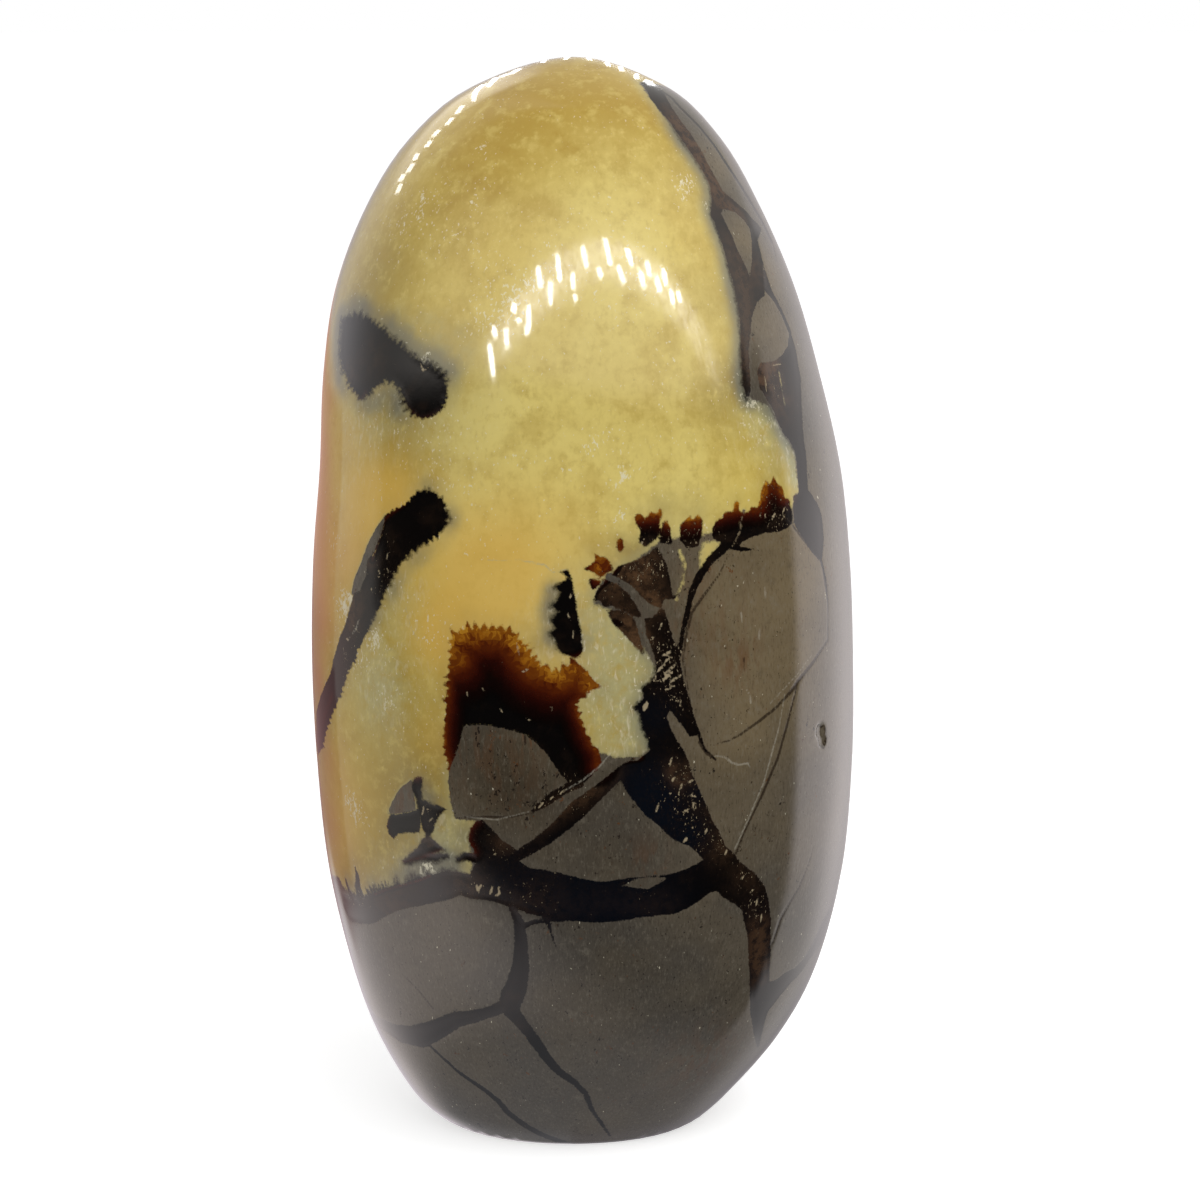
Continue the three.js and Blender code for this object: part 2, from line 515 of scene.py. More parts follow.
# Blocks of mudstone: those that the veins enclose, the middle one and the thin ones.
BLOCKS_IN_TRUNK = [
    [(519, 861), (535, 853), (550, 844), (567, 831), (583, 818), (596, 805), (608, 793), (621, 780),
     (626, 791), (634, 802), (645, 815), (660, 827), (672, 839), (682, 843), (692, 848), (704, 860),
     (690, 867), (672, 874), (648, 876), (630, 878), (600, 882), (580, 878), (560, 873), (545, 870),
     (530, 868)],
    [(622, 886), (634, 880), (650, 877), (668, 878), (660, 883), (648, 889), (638, 888)],
    [(513, 909), (524, 912), (536, 917), (524, 922), (518, 918)],
]
BLOCK_D = [
    (464, 726), (483, 725), (506, 729), (525, 735), (538, 745), (548, 756), (556, 768), (566, 781),
    (553, 793), (540, 803), (530, 812), (556, 803), (570, 793), (583, 785), (598, 770), (612, 760),
    (640, 758), (625, 763), (612, 773), (600, 783), (583, 795), (570, 804), (560, 816), (548, 828),
    (533, 840), (517, 851), (503, 842), (492, 830), (483, 820), (470, 819), (456, 818), (452, 802),
    (449, 782), (450, 768), (458, 749),
]
CLUB_SLIVER = [
    (385, 516), (376, 530), (368, 545), (362, 562), (354, 582), (352, 594), (360, 590), (366, 575),
    (367, 560), (374, 551), (381, 534),
]
PALE_SLIVER = [
    (607, 574), (614, 576), (625, 582), (634, 591), (648, 602), (658, 611), (652, 618), (643, 617),
    (636, 605), (628, 593), (618, 585), (608, 580),
]
FRAGMENT_BLOCK = [(411, 781), (400, 790), (393, 802), (389, 813), (402, 812), (415, 809), (413, 795)]

# A wedge of pale calcite, and the veins and the block between the pale field and the right side.
PALE_WEDGE = [(703, 543), (714, 541), (721, 542), (712, 558), (701, 573), (699, 560)]
RIGHT_VEINS = [
    [(640, 82), (648, 80), (662, 90), (672, 107), (681, 121), (690, 132), (700, 148), (709, 165),
     (716, 178), (723, 191), (736, 202), (746, 211), (754, 220), (762, 228), (758, 240), (763, 262),
     (764, 280), (765, 295), (757, 303), (752, 318), (751, 332), (749, 350), (750, 372), (751, 392),
     (747, 399), (743, 385), (741, 350), (740, 318), (736, 295), (732, 278), (728, 266), (724, 250),
     (719, 234), (711, 214), *CALCITE_RIGHT_EDGE[8:0:-1]],
    [(764, 290), (768, 294), (775, 303), (783, 318), (789, 334), (788, 346), (783, 354), (774, 361),
     (760, 363), (757, 372), (760, 388), (767, 399), (772, 408), (778, 422), (784, 434), (790, 441),
     (795, 452), (797, 465), (799, 492), (793, 496), (794, 524), (801, 535), (812, 552), (822, 563),
     (824, 540), (822, 516), (818, 504), (808, 489), (807, 461), (804, 439), (802, 407), (801, 380),
     (796, 350), (790, 328), (782, 310), (772, 290), (766, 272), (763, 262)],
]
RIGHT_BLOCK = [
    (724, 209), (735, 212), (745, 221), (750, 229), (752, 241), (752, 262), (750, 277), (744, 262),
    (738, 250), (733, 238), (727, 225), (721, 213),
]

# Veins drawn as strokes: pixels along the middle, then widths in pixels spread evenly along it.
THIN_VEINS = [
    ([(652, 84), (672, 98), (681, 108), (700, 127), (715, 146), (728, 166), (741, 186), (752, 204),
      (762, 221), (771, 240)], [5, 5, 6, 8]),
    ([(727, 545), (711, 559), (699, 577), (692, 592), (688, 610), (683, 632), (679, 655)],
     [9, 9, 8, 6, 6, 4, 5]),
    ([(512, 908), (519, 922), (521, 940), (521, 965), (517, 985), (510, 1002), (512, 1012), (530, 1034),
      (545, 1056), (558, 1071), (574, 1082), (586, 1094), (592, 1110), (601, 1123), (610, 1136)],
     [7, 11, 13, 16, 20, 24, 16, 12, 12, 10, 9, 7, 5, 4, 3]),
    ([(510, 1004), (490, 1012), (472, 1017), (455, 1020), (436, 1030), (418, 1037), (398, 1034),
      (378, 1022), (366, 1006)], [14, 12, 16, 20, 26, 22, 16, 14]),
    ([(430, 1046), (445, 1060), (457, 1071), (471, 1081), (486, 1091), (498, 1101), (508, 1113),
      (524, 1125), (540, 1134), (556, 1140), (570, 1144)], [4, 4, 6, 7, 8, 9, 9]),
    ([(524, 926), (535, 922), (548, 920), (572, 921)], [6, 4, 4, 1]),
    ([(547, 920), (551, 932), (556, 947)], [4, 3, 1]),
    ([(733, 547), (742, 549), (757, 550)], [6, 4, 1]),
    ([(688, 588), (680, 592), (673, 598)], [2, 2, 3]),
    ([(821, 560), (826, 580), (828, 602)], [4, 3, 1.5]),
    ([(355, 866), (357, 876), (358, 888), (362, 902)], [2, 8, 13, 18]),
    ([(345, 878), (348, 888), (355, 904)], [2, 6, 14]),
    ([(366, 890), (372, 896), (376, 905)], [2, 6, 12]),
    ([(428, 832), (427, 842), (424, 852)], [7, 6, 12]),
    ([(424, 856), (436, 858), (446, 856)], [8, 7, 2]),
    ([(458, 860), (466, 856), (474, 858)], [3, 8, 10]),
]
PALE_VEINLETS = [
    ([(680, 550), (685, 566), (683, 582), (676, 600)], [1.4, 2.4, 2.4, 1.4]),
    ([(779, 372), (782, 388), (785, 405)], [2.4, 1.6, 1]),
]
GREY_VEINLET = ([(744, 511), (741, 522), (740, 532), (733, 546)], [0.8, 1.6, 1.6, 1.6])
AMBER_VEIN = ([(533, 811), (545, 803), (556, 795), (567, 788), (580, 784)], [4, 8, 10, 9, 8])
HAIRLINES = [
    ([(793, 526), (808, 545), (822, 562), (828, 602), (828, 640), (812, 664), (799, 680), (790, 693),
      (776, 708), (761, 720), (740, 735), (728, 741), (713, 745)], [2, 3, 3, 3, 2, 3, 4, 4, 3, 3, 2, 1]),
    ([(797, 687), (788, 722), (778, 758), (761, 798), (744, 833), (736, 854)], [2, 3, 3, 3, 2, 2]),
    ([(772, 945), (781, 918), (799, 888), (808, 866), (814, 846)], [2, 3, 3, 2, 1]),
    ([(728, 556), (719, 575), (705, 594), (692, 612), (686, 637), (683, 660), (688, 688), (691, 704)],
     [1, 3, 2, 1]),
    ([(402, 974), (418, 990), (433, 1009)], [1, 2, 2]),
    ([(700, 742), (706, 752), (716, 760)], [4, 4, 2]),
    ([(456, 818), (483, 817), (510, 817), (533, 813)], [1, 2, 2, 1]),
    ([(820, 725), (826, 728), (827, 738), (824, 748), (819, 745), (818, 733), (820, 725)], [2, 2.5, 2]),
    ([(760, 206), (766, 218), (770, 233)], [1, 4, 1]),
    ([(772, 240), (777, 262)], [1, 3, 1]),
    ([(744, 658), (744, 672)], [2, 1]),
    ([(525, 735), (525, 744)], [2, 2]),
    ([(676, 690), (684, 712), (690, 730)], [1, 3, 1]),
]

# Slivers of pale crystal in the dark calcite, mostly leaning to the right. By the width of their ends: from
# one pixel to another, and the width between them.
SLIVERS = {
    1: [
        (661, 657, 673, 650, 3), (664, 663, 671, 657, 2), (665, 674, 677, 663, 2.6),
        (669, 683, 681, 675, 2.6), (665, 690, 675, 686, 2.2), (654, 681, 656, 675, 2.5),
        (651, 640, 655, 636, 1.6), (660, 629, 662, 623, 1.6), (672, 699, 675, 696, 1.8),
        (680, 706, 681, 701, 1.6), (698, 750, 700, 747, 2), (670, 766, 672, 757, 1.6),
        (672, 781, 675, 777, 2.4), (681, 790, 682, 784, 1.8), (690, 795, 696, 797, 1.8),
        (693, 808, 694, 802, 2), (684, 812, 689, 809, 1.6), (714, 820, 722, 818, 2.6),
        (728, 816, 731, 809, 2.2), (705, 834, 707, 829, 2), (656, 812, 659, 803, 1.8),
        (728, 845, 731, 838, 2.4), (737, 852, 741, 846, 1.8), (725, 855, 727, 850, 2),
        (741, 880, 744, 876, 2), (750, 893, 755, 888, 2.2), (756, 906, 758, 898, 2.6),
        (761, 922, 762, 914, 1.8), (538, 808, 543, 803, 1.8), (549, 800, 553, 797, 2),
        (560, 794, 566, 789, 1.6), (521, 673, 528, 669, 2), (570, 598, 572, 593, 1.6),
        (772, 520, 776, 512, 1.8), (783, 513, 785, 507, 1.8), (371, 588, 372, 592, 2),
        (378, 570, 380, 574, 2),
    ],
    1.5: [
        (684, 842, 687, 838, 3), (346, 638, 348, 640, 2.4),
    ],
    1.2: [
        (490, 894, 492, 887, 2.4),
    ],
    0.8: [
        (517, 643, 519, 655, 1.8), (466, 690, 468, 697, 1.3), (482, 688, 484, 691, 1.2),
        (526, 718, 531, 721, 1.5), (551, 706, 552, 711, 1.3), (500, 708, 502, 712, 1.2),
        (567, 612, 570, 620, 1.4), (574, 630, 573, 638, 1.4), (640, 548, 644, 538, 1.2),
        (765, 377, 767, 392, 1.6), (770, 365, 781, 364, 1.4), (343, 648, 344, 655, 1.4),
        (352, 624, 359, 633, 1.2), (386, 560, 388, 552, 1.6), (422, 815, 424, 806, 1.6),
        (428, 822, 433, 818, 1.6),
    ],
}
UNEVEN_SLIVERS = [
    ([(658, 671), (665, 665)], [1.5, 3, 1]),
    ([(661, 681), (672, 673)], [1, 3.6, 1.5]),
    ([(644, 710), (647, 703)], [2.5, 4.5, 3]),
    ([(689, 746), (694, 739)], [1.5, 3, 1]),
    ([(688, 783), (693, 780)], [1, 3, 1.5]),
    ([(476, 884), (478, 891), (481, 885)], [1.2, 2.4, 1.2]),
    ([(495, 896), (499, 894), (499, 887)], [1.2, 2.4, 1.2]),
    ([(420, 363), (423, 371), (428, 368)], [0.8, 1.8, 0.8]),
]

# Pale scratches and healed cracks.
SCARS = [
    ([(715, 756), (725, 757), (732, 763), (740, 765), (748, 763), (750, 768)], [1, 1.6, 1.6, 1.2]),
    ([(746, 689), (750, 695), (751, 703)], [1, 1.5, 1.5]),
    ([(785, 694), (779, 728), (764, 782), (748, 820), (735, 849)], [1, 1.5, 1.2, 1.5]),
    ([(765, 587), (766, 600)], [1, 2.2, 1]),
    ([(760, 628), (759, 640)], [1, 1.5, 1]),
    ([(741, 612), (742, 622)], [1, 1.4]),
    ([(812, 655), (796, 676), (770, 704)], [0.8, 1.2, 0.8]),
    ([(612, 752), (600, 766), (583, 780), (566, 790)], [0.8, 1.3, 1.3, 0.8]),
    ([(488, 560), (520, 560), (545, 565), (553, 572), (568, 569)], [0.6, 1.2, 1.6, 1]),
    ([(467, 817), (496, 820), (528, 812)], [0.8, 1.2, 0.8]),
    ([(405, 604), (409, 622), (417, 640)], [0.8, 1.2, 0.8]),
    ([(348, 640), (356, 628), (361, 612)], [1, 2, 1]),
]

# Edges where the dark calcite is amber: the pixels along the edge, how deep in mm the amber goes, and how
# far into its tones it starts.
AMBER_EDGES = [
    (PATCH_EDGE[:6], 4.4, 0.34),
    (PATCH_EDGE[5:17], 8.2, 0.1),
    (PATCH_EDGE[16:20], 8.0, 0.18),
    (PATCH_EDGE[19:28], 4.4, 0.34),
    (BAND_TOP, 3.8, 0.12),
    ([(596, 554), (602, 565), (594, 572), (600, 582)], 8.0, 0.12),
    ([(618, 540), (620, 550)], 5.0, 0.25),
    ([(616, 618), (630, 632), (640, 648)], 3.0, 0.4),
    ([(634, 578), (648, 588), (656, 600)], 3.0, 0.5),
    ([(592, 602), (602, 588), (608, 580)], 2.0, 0.4),
    ([(612, 574), (632, 562), (657, 547)], 1.6, 0.5),
    ([(476, 821), (470, 829), (468, 840), (474, 852)], 3.0, 0.48),
    ([(416, 778), (423, 777)], 3.0, 0.5),
    ([(405, 405), (420, 419), (440, 412)], 2.6, 0.68),
    ([(345, 385), (360, 400), (366, 392)], 2.0, 0.6),
    ([(372, 560), (384, 519), (405, 503)], 1.2, 0.5),
    ([(640, 757), (620, 760), (600, 757)], 1.5, 0.5),
    ([(355, 865), (358, 890)], 1.0, 0.6),
    ([(332, 694), (324, 716), (319, 746)], 2.5, 0.52),
    (CALCITE_LOWER_EDGE[8:13], 0.8, 0.45),
    ([(388, 816), (386, 832), (394, 840)], 1.5, 0.5),
    ([(400, 862), (420, 858), (442, 850)], 2.0, 0.55),
]

# Soft spots of tint: pixel, radius in mm, strength.
PALE_SPOTS = [
    (642, 600, 4, 0.4), (356, 440, 4, 0.5), (350, 500, 4, 0.3), (375, 420, 4, 0.5), (378, 700, 4, 0.5),
    (620, 690, 8, 0.8), (600, 630, 6, 0.6), (560, 620, 4, 0.5), (385, 670, 6, 0.5), (775, 430, 6, 0.4),
    (770, 410, 5, 0.5), (445, 838, 4, 0.8), (640, 740, 5, 0.5), (400, 880, 6, 0.3), (440, 440, 8, 0.2),
    (400, 620, 6, 0.25), (400, 590, 4, 0.4), *beads([(788, 444), (794, 470), (796, 492)], 1.3, 0.6),
]
ORANGE_SPOTS = [
    (490, 565, 10, 0.75), (372, 510, 8, 0.7), (440, 640, 5, 0.7), (480, 600, 8, 0.6), (560, 660, 4, 0.4),
    (333, 850, 9, 0.6), (390, 490, 5, 0.5), (440, 740, 5, 0.4), (560, 545, 8, 0.25), (345, 560, 5, 0.5),
    (350, 440, 4, 0.4), (352, 500, 4, 0.5), (345, 640, 3, 0.3), (350, 800, 8, 0.5),
]
PINK_REFLECTION_SPOTS = [  # a painted reflection: the warm pink that the left side mirrors, laid into the calcite's colour
    (328, 400, 3, 0.5), (324, 450, 4, 0.7), (322, 505, 5, 0.8), (320, 560, 5.5, 0.8), (320, 620, 5, 1.0),
    (318, 680, 4, 1.0), (328, 760, 4, 0.6), (330, 820, 5, 0.7), (350, 560, 5, 0.3),
]
DULL_SPOTS = [
    (430, 790, 9, 0.8), (380, 850, 12, 0.5), (400, 700, 10, 0.4), (440, 840, 7, 0.5), (360, 350, 9, 0.4),
    (722, 300, 5, 0.4), (700, 180, 5, 0.4), (400, 235, 10, 0.3), (375, 280, 6, 0.4), (630, 556, 2.5, 0.8),
    (652, 550, 2.5, 0.7), (700, 508, 2.5, 0.3), (602, 592, 2.5, 0.5), (445, 868, 3, 1.0),
    (418, 866, 2.5, 0.8), (352, 875, 4, 0.8), (372, 888, 3, 0.7), (684, 575, 2, 0.8), (764, 380, 2, 0.4),
    (410, 888, 3, 0.6), (668, 505, 2.5, 0.4), (590, 545, 3, 0.3), (400, 430, 6, 0.8), (460, 372, 5, 0.4),
    (724, 400, 5, 0.6), (620, 695, 7, 0.35), (628, 736, 3.5, 0.5), (740, 372, 3, 0.6), (784, 450, 4, 0.5),
    (600, 690, 2, 0.5), (380, 860, 5, 0.4),
]
DEEP_SPOTS = [
    (570, 90, 14, 0.8), (500, 120, 9, 0.4), (470, 180, 9, 0.4), (650, 400, 10, 0.3), (400, 470, 5, 0.4),
    (560, 340, 8, 0.2), (640, 110, 6, 0.4),
]
CREAM_SPOTS = [
    (620, 470, 10, 1.0), (590, 425, 14, 0.9), (470, 450, 11, 0.9), (510, 580, 9, 0.7), (600, 230, 13, 0.5),
    (540, 500, 10, 0.6), (480, 520, 8, 0.5), (640, 350, 8, 0.4), (700, 490, 7, 0.4), (500, 150, 10, 0.2),
    (600, 150, 8, 0.5), (540, 570, 8, 0.5),
]
WARM_SPOTS = [
    (745, 600, 10, 0.9), (760, 680, 11, 0.8), (730, 800, 11, 0.45), (800, 560, 10, 0.6), (500, 770, 7, 0.5),
    (720, 160, 5, 0.5), (742, 235, 4, 0.7), (775, 330, 6, 0.6), (770, 270, 4, 0.6),
]
FROST_AND_GLARE_SPOTS = [  # clusters of white crystals, and round the arch of lamps a painted highlight of white haze
    (687, 181, 1.5, 1.0), (683, 190, 0.9, 0.8), (624, 477, 0.9, 1.0), (620, 486, 0.8, 1.0),
    (694, 492, 0.9, 1.0), (706, 206, 0.7, 0.8), (482, 146, 1.0, 0.7), (475, 207, 0.9, 0.8),
    (422, 203, 1.1, 0.7), (425, 365, 0.8, 1.0), (756, 398, 1.2, 0.9), (746, 402, 1.0, 0.9),
    (428, 872, 1.6, 1.5), (350, 800, 1.6, 1.1), (358, 815, 1.6, 1.0), (386, 700, 1.6, 0.9),
    (372, 640, 1.6, 1.0), (346, 600, 1.5, 0.9), (341, 830, 1.2, 0.7), (428, 355, 0.6, 0.9),
    (345, 610, 2.5, 0.7), (350, 660, 2.0, 0.7), (335, 545, 2.5, 0.5), (400, 508, 1.0, 0.6),
    # The broad, weak spots round the arch of lamps, from (500, 310) to (400, 230), are painted highlight:
    # the white haze of the lamps' glare, laid into the colour as frost.
    (620, 517, 0.9, 0.7), (598, 445, 1.2, 0.5), (556, 352, 1.4, 0.5), (500, 310, 5, 0.5),
    (540, 275, 5, 0.35), (640, 275, 6, 0.3), (430, 215, 5, 0.3), (480, 250, 4, 0.25), (400, 230, 6, 0.25),
    (740, 440, 6, 0.3), (600, 470, 9, 0.2), (460, 470, 8, 0.25), (400, 400, 8, 0.25), (640, 640, 5, 0.35),
    (430, 640, 5, 0.25), (380, 640, 8, 0.25), (430, 720, 6, 0.25),
]
GRAIN_SPOTS = [  # where the dark calcite is full of small pale crystals
    (664, 640, 4, 0.9), (668, 668, 3, 1.0), (680, 700, 4, 0.8), (684, 780, 5, 1.0), (700, 815, 4, 0.9),
    (712, 845, 3, 0.9), (745, 880, 4, 0.7), (757, 915, 3, 0.9), (500, 830, 5, 0.8), (540, 895, 5, 0.7),
    (465, 888, 4, 0.8), (780, 505, 4, 0.7), (700, 530, 4, 0.6), (655, 570, 3, 0.8), (620, 590, 4, 0.6),
    (390, 560, 4, 0.6), (700, 600, 5, 0.5), (548, 802, 2.5, 1.0), (568, 790, 2.5, 1.0), (600, 800, 3, 0.5),
    (640, 900, 5, 0.4), (772, 512, 4, 0.8), (650, 535, 4, 0.6), (690, 535, 3, 0.6), (722, 180, 2, 0.8),
    (775, 386, 2.5, 1.0), (362, 900, 2.5, 1.0), (350, 895, 2, 0.9), (382, 585, 2, 0.9), (345, 660, 2, 0.9),
    (358, 640, 2, 0.7), (430, 815, 2, 0.9), (425, 800, 1.5, 0.8), (610, 868, 3, 0.3),
]
BLUE_SPOTS = [
    (645, 785, 4, 1.0), (660, 812, 3, 1.0), (690, 835, 3, 0.9), (700, 790, 2, 0.7), (655, 715, 3, 0.6),
    (560, 895, 7, 0.7), (640, 905, 7, 0.6), (500, 880, 4, 0.5),
]
HALO_SPOTS = [  # where the dark calcite shines softly through the edge of the pale
    (452, 348, 3.5, 1.0), (425, 338, 3.5, 1.0), (395, 322, 3.5, 0.9), (362, 308, 3.5, 1.0),
    (470, 335, 2.5, 0.5), (335, 335, 3.5, 1.0), (334, 365, 3.0, 1.0), (345, 305, 3.5, 1.0),
    (340, 390, 2.5, 0.8), (330, 300, 2.5, 0.8), (395, 402, 3.0, 0.6), (430, 484, 2.0, 0.5),
    (452, 520, 2.0, 0.7), (550, 610, 2.2, 1.0), (551, 590, 1.5, 0.7), (420, 560, 3.0, 0.6),
    (395, 590, 2.5, 0.7), (375, 620, 2.0, 0.6), (550, 640, 2.0, 0.9),
    *beads(CALCITE_RIGHT_EDGE[3:27], 2.8, 0.34), *beads(CALCITE_RIGHT_EDGE[43:53], 2.2, 0.3),
    (590, 640, 2.0, 0.4), (428, 795, 2.0, 0.7), (460, 835, 2.0, 0.5), (455, 372, 4.0, 0.4),
    (430, 330, 5, 0.4), (430, 868, 2.5, 1.0), (412, 873, 2.2, 0.9), (450, 862, 2.2, 0.9),
    (440, 872, 2.2, 0.9), (385, 412, 3.5, 0.7), (362, 408, 3.0, 0.6), (350, 884, 1.6, 0.6),
    (372, 886, 2.0, 0.5), (396, 878, 2.0, 0.5),
]
UNSTAINED_SPOTS = [  # dark calcite that is black although amber lies near
    (564, 585, 2.6, 1.0), (560, 612, 2.8, 1.0), (567, 635, 2.4, 0.8), (646, 576, 2.8, 1.0),
    (656, 592, 2.4, 1.0), (626, 600, 2.2, 0.9), (612, 598, 1.8, 0.6), (632, 640, 2.0, 0.6),
    (430, 815, 2.0, 0.8),
]
SHADE_SPOTS = [
    (495, 760, 7, 0.75), (545, 795, 5, 0.5), (500, 800, 5, 0.4), (610, 850, 7, 0.4), (620, 775, 3, 0.6),
    (590, 980, 12, 0.35),
]
SMOKE_SPOTS = [  # where the dark calcite is brown and lets light through
    (640, 563, 2.2, 1.0), (628, 572, 2.0, 0.8), (648, 592, 2.0, 0.8), (658, 604, 1.5, 0.7),
    (610, 590, 2.0, 0.5), (634, 636, 2.0, 1.0), (622, 622, 1.8, 0.8), (640, 650, 1.5, 0.7),
    (680, 780, 1.8, 0.8), (672, 772, 1.5, 0.6), (770, 362, 2.0, 1.0), (762, 375, 2.0, 1.0),
    (780, 400, 3.0, 0.5), (405, 860, 2.0, 0.6), (430, 845, 2.0, 0.4), (720, 850, 2.0, 0.3),
    (748, 875, 2.5, 0.3), (540, 900, 4.0, 0.3), (470, 886, 3.0, 0.5), (390, 900, 5.0, 0.4),
    (700, 530, 2.5, 0.3), (776, 500, 2.5, 0.3),
    *beads([(672, 112), (704, 160), (722, 200), (752, 222)], 2.2, 0.4),
    *beads([(728, 240), (745, 290), (748, 380)], 2.0, 0.22), (756, 270, 2.5, 0.5),
    *beads([(500, 846), (560, 810), (625, 768)], 1.5, 0.35), *beads([(705, 805), (738, 862)], 2.0, 0.12),
    *beads([(758, 925), (760, 990)], 2.2, 0.4), *beads([(500, 900), (680, 905)], 2.0, 0.12),
    (352, 600, 2.5, 0.5), (349, 620, 2.5, 0.5), (368, 560, 1.5, 0.5), (372, 360, 2.5, 0.25),
    (350, 372, 2.0, 0.4),
]
RUST_SPOTS = [
    (648, 857, 2.5, 0.3), (530, 737, 1.6, 0.8), (704, 1060, 6, 0.3), (400, 797, 4, 0.4), (742, 665, 3, 0.5),
    (472, 760, 5, 0.2), (700, 620, 7, 0.25), (520, 770, 6, 0.15),
]


# ---------------------------------------------------------------- what the front doesn't show

# (azimuth in degrees, height in mm). Azimuth 0 faces the front, 90 the right, -90 the left and 180 the back.
CALCITE_ROUND_THE_BACK = [
    (-100, 34), (-112, 41), (-126, 38), (-140, 43), (-150, 52), (-158, 62), (-168, 68), (-176, 82),
    (-183, 98), (-190, 115), (-198, 127), (-208, 136), (-220, 142), (-234, 145),
]
BACK_VEINS = [
    (CALCITE_ROUND_THE_BACK, [1.8, 2.6, 1.8, 2.8, 2.0, 3.4, 2.4, 1.8, 2.6, 2.0, 1.6, 1.8, 1.2, 0.8]),
    ([(-93, 59), (-102, 54), (-113, 52), (-124, 47), (-134, 44)], [3.0, 2.0, 2.4, 1.4, 1.2]),
    ([(-94, 116), (-101, 113), (-112, 108), (-124, 109), (-134, 104), (-140, 97)],
     [4.6, 5.4, 3.6, 2.6, 1.6, 0.5]),
    ([(-150, 120), (-158, 112), (-160, 102), (-170, 94), (-180, 88)], [0.4, 2.2, 3.0, 2.0, 2.4]),
    ([(-96, 16), (-110, 14), (-125, 20), (-140, 17), (-158, 24), (-172, 21), (-188, 30), (-200, 38)],
     [2.2, 1.8, 2.8, 2.0, 3.0, 2.2, 2.6, 3.4]),
    ([(-140, 17), (-145, 30), (-147, 43)], [2.0, 2.6, 3.0]),
    ([(-172, 21), (-178, 10), (-176, 0)], [2.4, 1.6, 1.2]),
    ([(-110, 14), (-114, 6), (-118, 0)], [1.4, 1.0, 0.8]),
    ([(76, 86), (82, 88), (90, 92), (103, 89), (118, 97), (130, 106), (140, 118), (146, 130), (147, 139)],
     [0.4, 1.6, 2.2, 3.0, 2.0, 2.8, 2.2, 1.8, 1.6]),
    ([(70, 31), (84, 36), (98, 33), (112, 40), (128, 37), (142, 45), (158, 56), (170, 66), (184, 92)],
     [1.8, 2.8, 2.0, 3.2, 2.4, 3.4, 2.6, 3.2, 2.6]),
    ([(128, 37), (124, 24), (130, 12), (126, 0)], [2.6, 1.8, 2.2, 1.2]),
    ([(103, 89), (108, 76), (104, 63), (112, 52), (112, 40)], [2.6, 1.8, 2.4, 1.6, 2.2]),
    ([(142, 45), (136, 60), (142, 76), (134, 92), (130, 106)], [2.2, 1.4, 2.0, 1.2, 1.8]),
    ([(158, 56), (165, 44), (160, 34), (160, 22)], [2.4, 1.4, 2.0, 1.6]),
]
# The same as AMBER_EDGES, and as the tints' spots by their names, round the back.
BACK_AMBERS = [
    ([(-128, 106), (-134, 104), (-140, 97)], 3.0, 0.3),
    ([(-150, 120), (-156, 114)], 3.0, 0.3),
    ([(-120, 50), (-113, 53), (-104, 55)], 2.4, 0.4),
    ([(-154, 61), (-163, 67), (-172, 76)], 2.6, 0.35),
]
BACK_TINTS = {
    "cream": [(-120, 90, 12, 0.9), (-150, 96, 10, 0.6), (-135, 70, 9, 0.7), (-170, 118, 12, 0.7),
              (-200, 136, 8, 0.4)],
    "orange": [(-105, 80, 9, 0.6), (-140, 82, 8, 0.7), (-112, 120, 8, 0.4), (-118, 60, 6, 0.6)],
    "deep": [(-160, 130, 12, 0.6), (-120, 128, 10, 0.5)],
    "pale": [(-150, 60, 5, 0.8), (-164, 74, 5, 0.7), (-128, 44, 5, 0.7), (-182, 104, 5, 0.8),
             (-110, 46, 5, 0.6), (-146, 108, 4, 0.6)],
    "halo": [(-110, 43, 2.5, 0.8), (-124, 41, 2.5, 0.8), (-138, 45, 2.5, 0.9), (-150, 55, 2.5, 0.8),
             (-160, 66, 2.5, 0.9), (-170, 74, 2.5, 0.8), (-178, 90, 2.5, 0.9), (-186, 106, 2.5, 0.8),
             (-194, 122, 2.5, 0.9), (-206, 134, 2.5, 0.8), (-104, 113, 3, 0.8), (-120, 109, 3, 0.8),
             (-136, 102, 2.5, 0.8), (-154, 115, 2.5, 0.8)],
    "frost_and_glare": [(-130, 76, 10, 0.35), (-155, 90, 8, 0.3), (-112, 98, 8, 0.3), (-175, 126, 9, 0.3)],
    "warm": [(110, 70, 14, 0.6), (150, 40, 12, 0.5), (-160, 30, 12, 0.5), (150, 100, 12, 0.6)],
    "rust": [(120, 50, 6, 0.4), (-150, 28, 6, 0.4), (155, 80, 6, 0.35)],
    "grains": [(-113, 52, 4, 0.7), (-168, 72, 5, 0.7), (142, 45, 5, 0.6), (-172, 22, 5, 0.5),
               (104, 63, 4, 0.5)],
    "smoke": [(-120, 108, 4, 0.4), (-158, 62, 4, 0.4), (130, 38, 5, 0.4), (118, 97, 5, 0.35),
              (-190, 115, 4, 0.5)],
}
BACK_HAIRLINES = [
    ([(78, 70), (90, 64), (104, 63)], [0.3, 0.5, 0.4]),
    ([(112, 52), (126, 56), (136, 60)], [0.5, 0.4, 0.3]),
    ([(84, 36), (88, 22), (84, 8)], [0.5, 0.4, 0.2]),
    ([(142, 76), (158, 82), (172, 90)], [0.4, 0.5, 0.3]),
    ([(90, 110), (104, 114), (118, 110), (132, 114)], [0.2, 0.4, 0.5, 0.3]),
    ([(-120, 70), (-128, 82), (-126, 94)], [0.3, 0.5, 0.2]),
    ([(145, 8), (152, 18), (160, 22)], [0.3, 0.5, 0.4]),
]


WANDER_SEED = 4
WANDER = 0.12  # how far a path strays, as a share of the stretch that strays
WANDER_ROUNDS = 4
DEGREES_PER_MM = 1.55
WIDTHS_BETWEEN = 5  # how many widths are drawn for each one given
NARROWEST = 0.7  # shares of the width that is given
WIDEST = 1.25


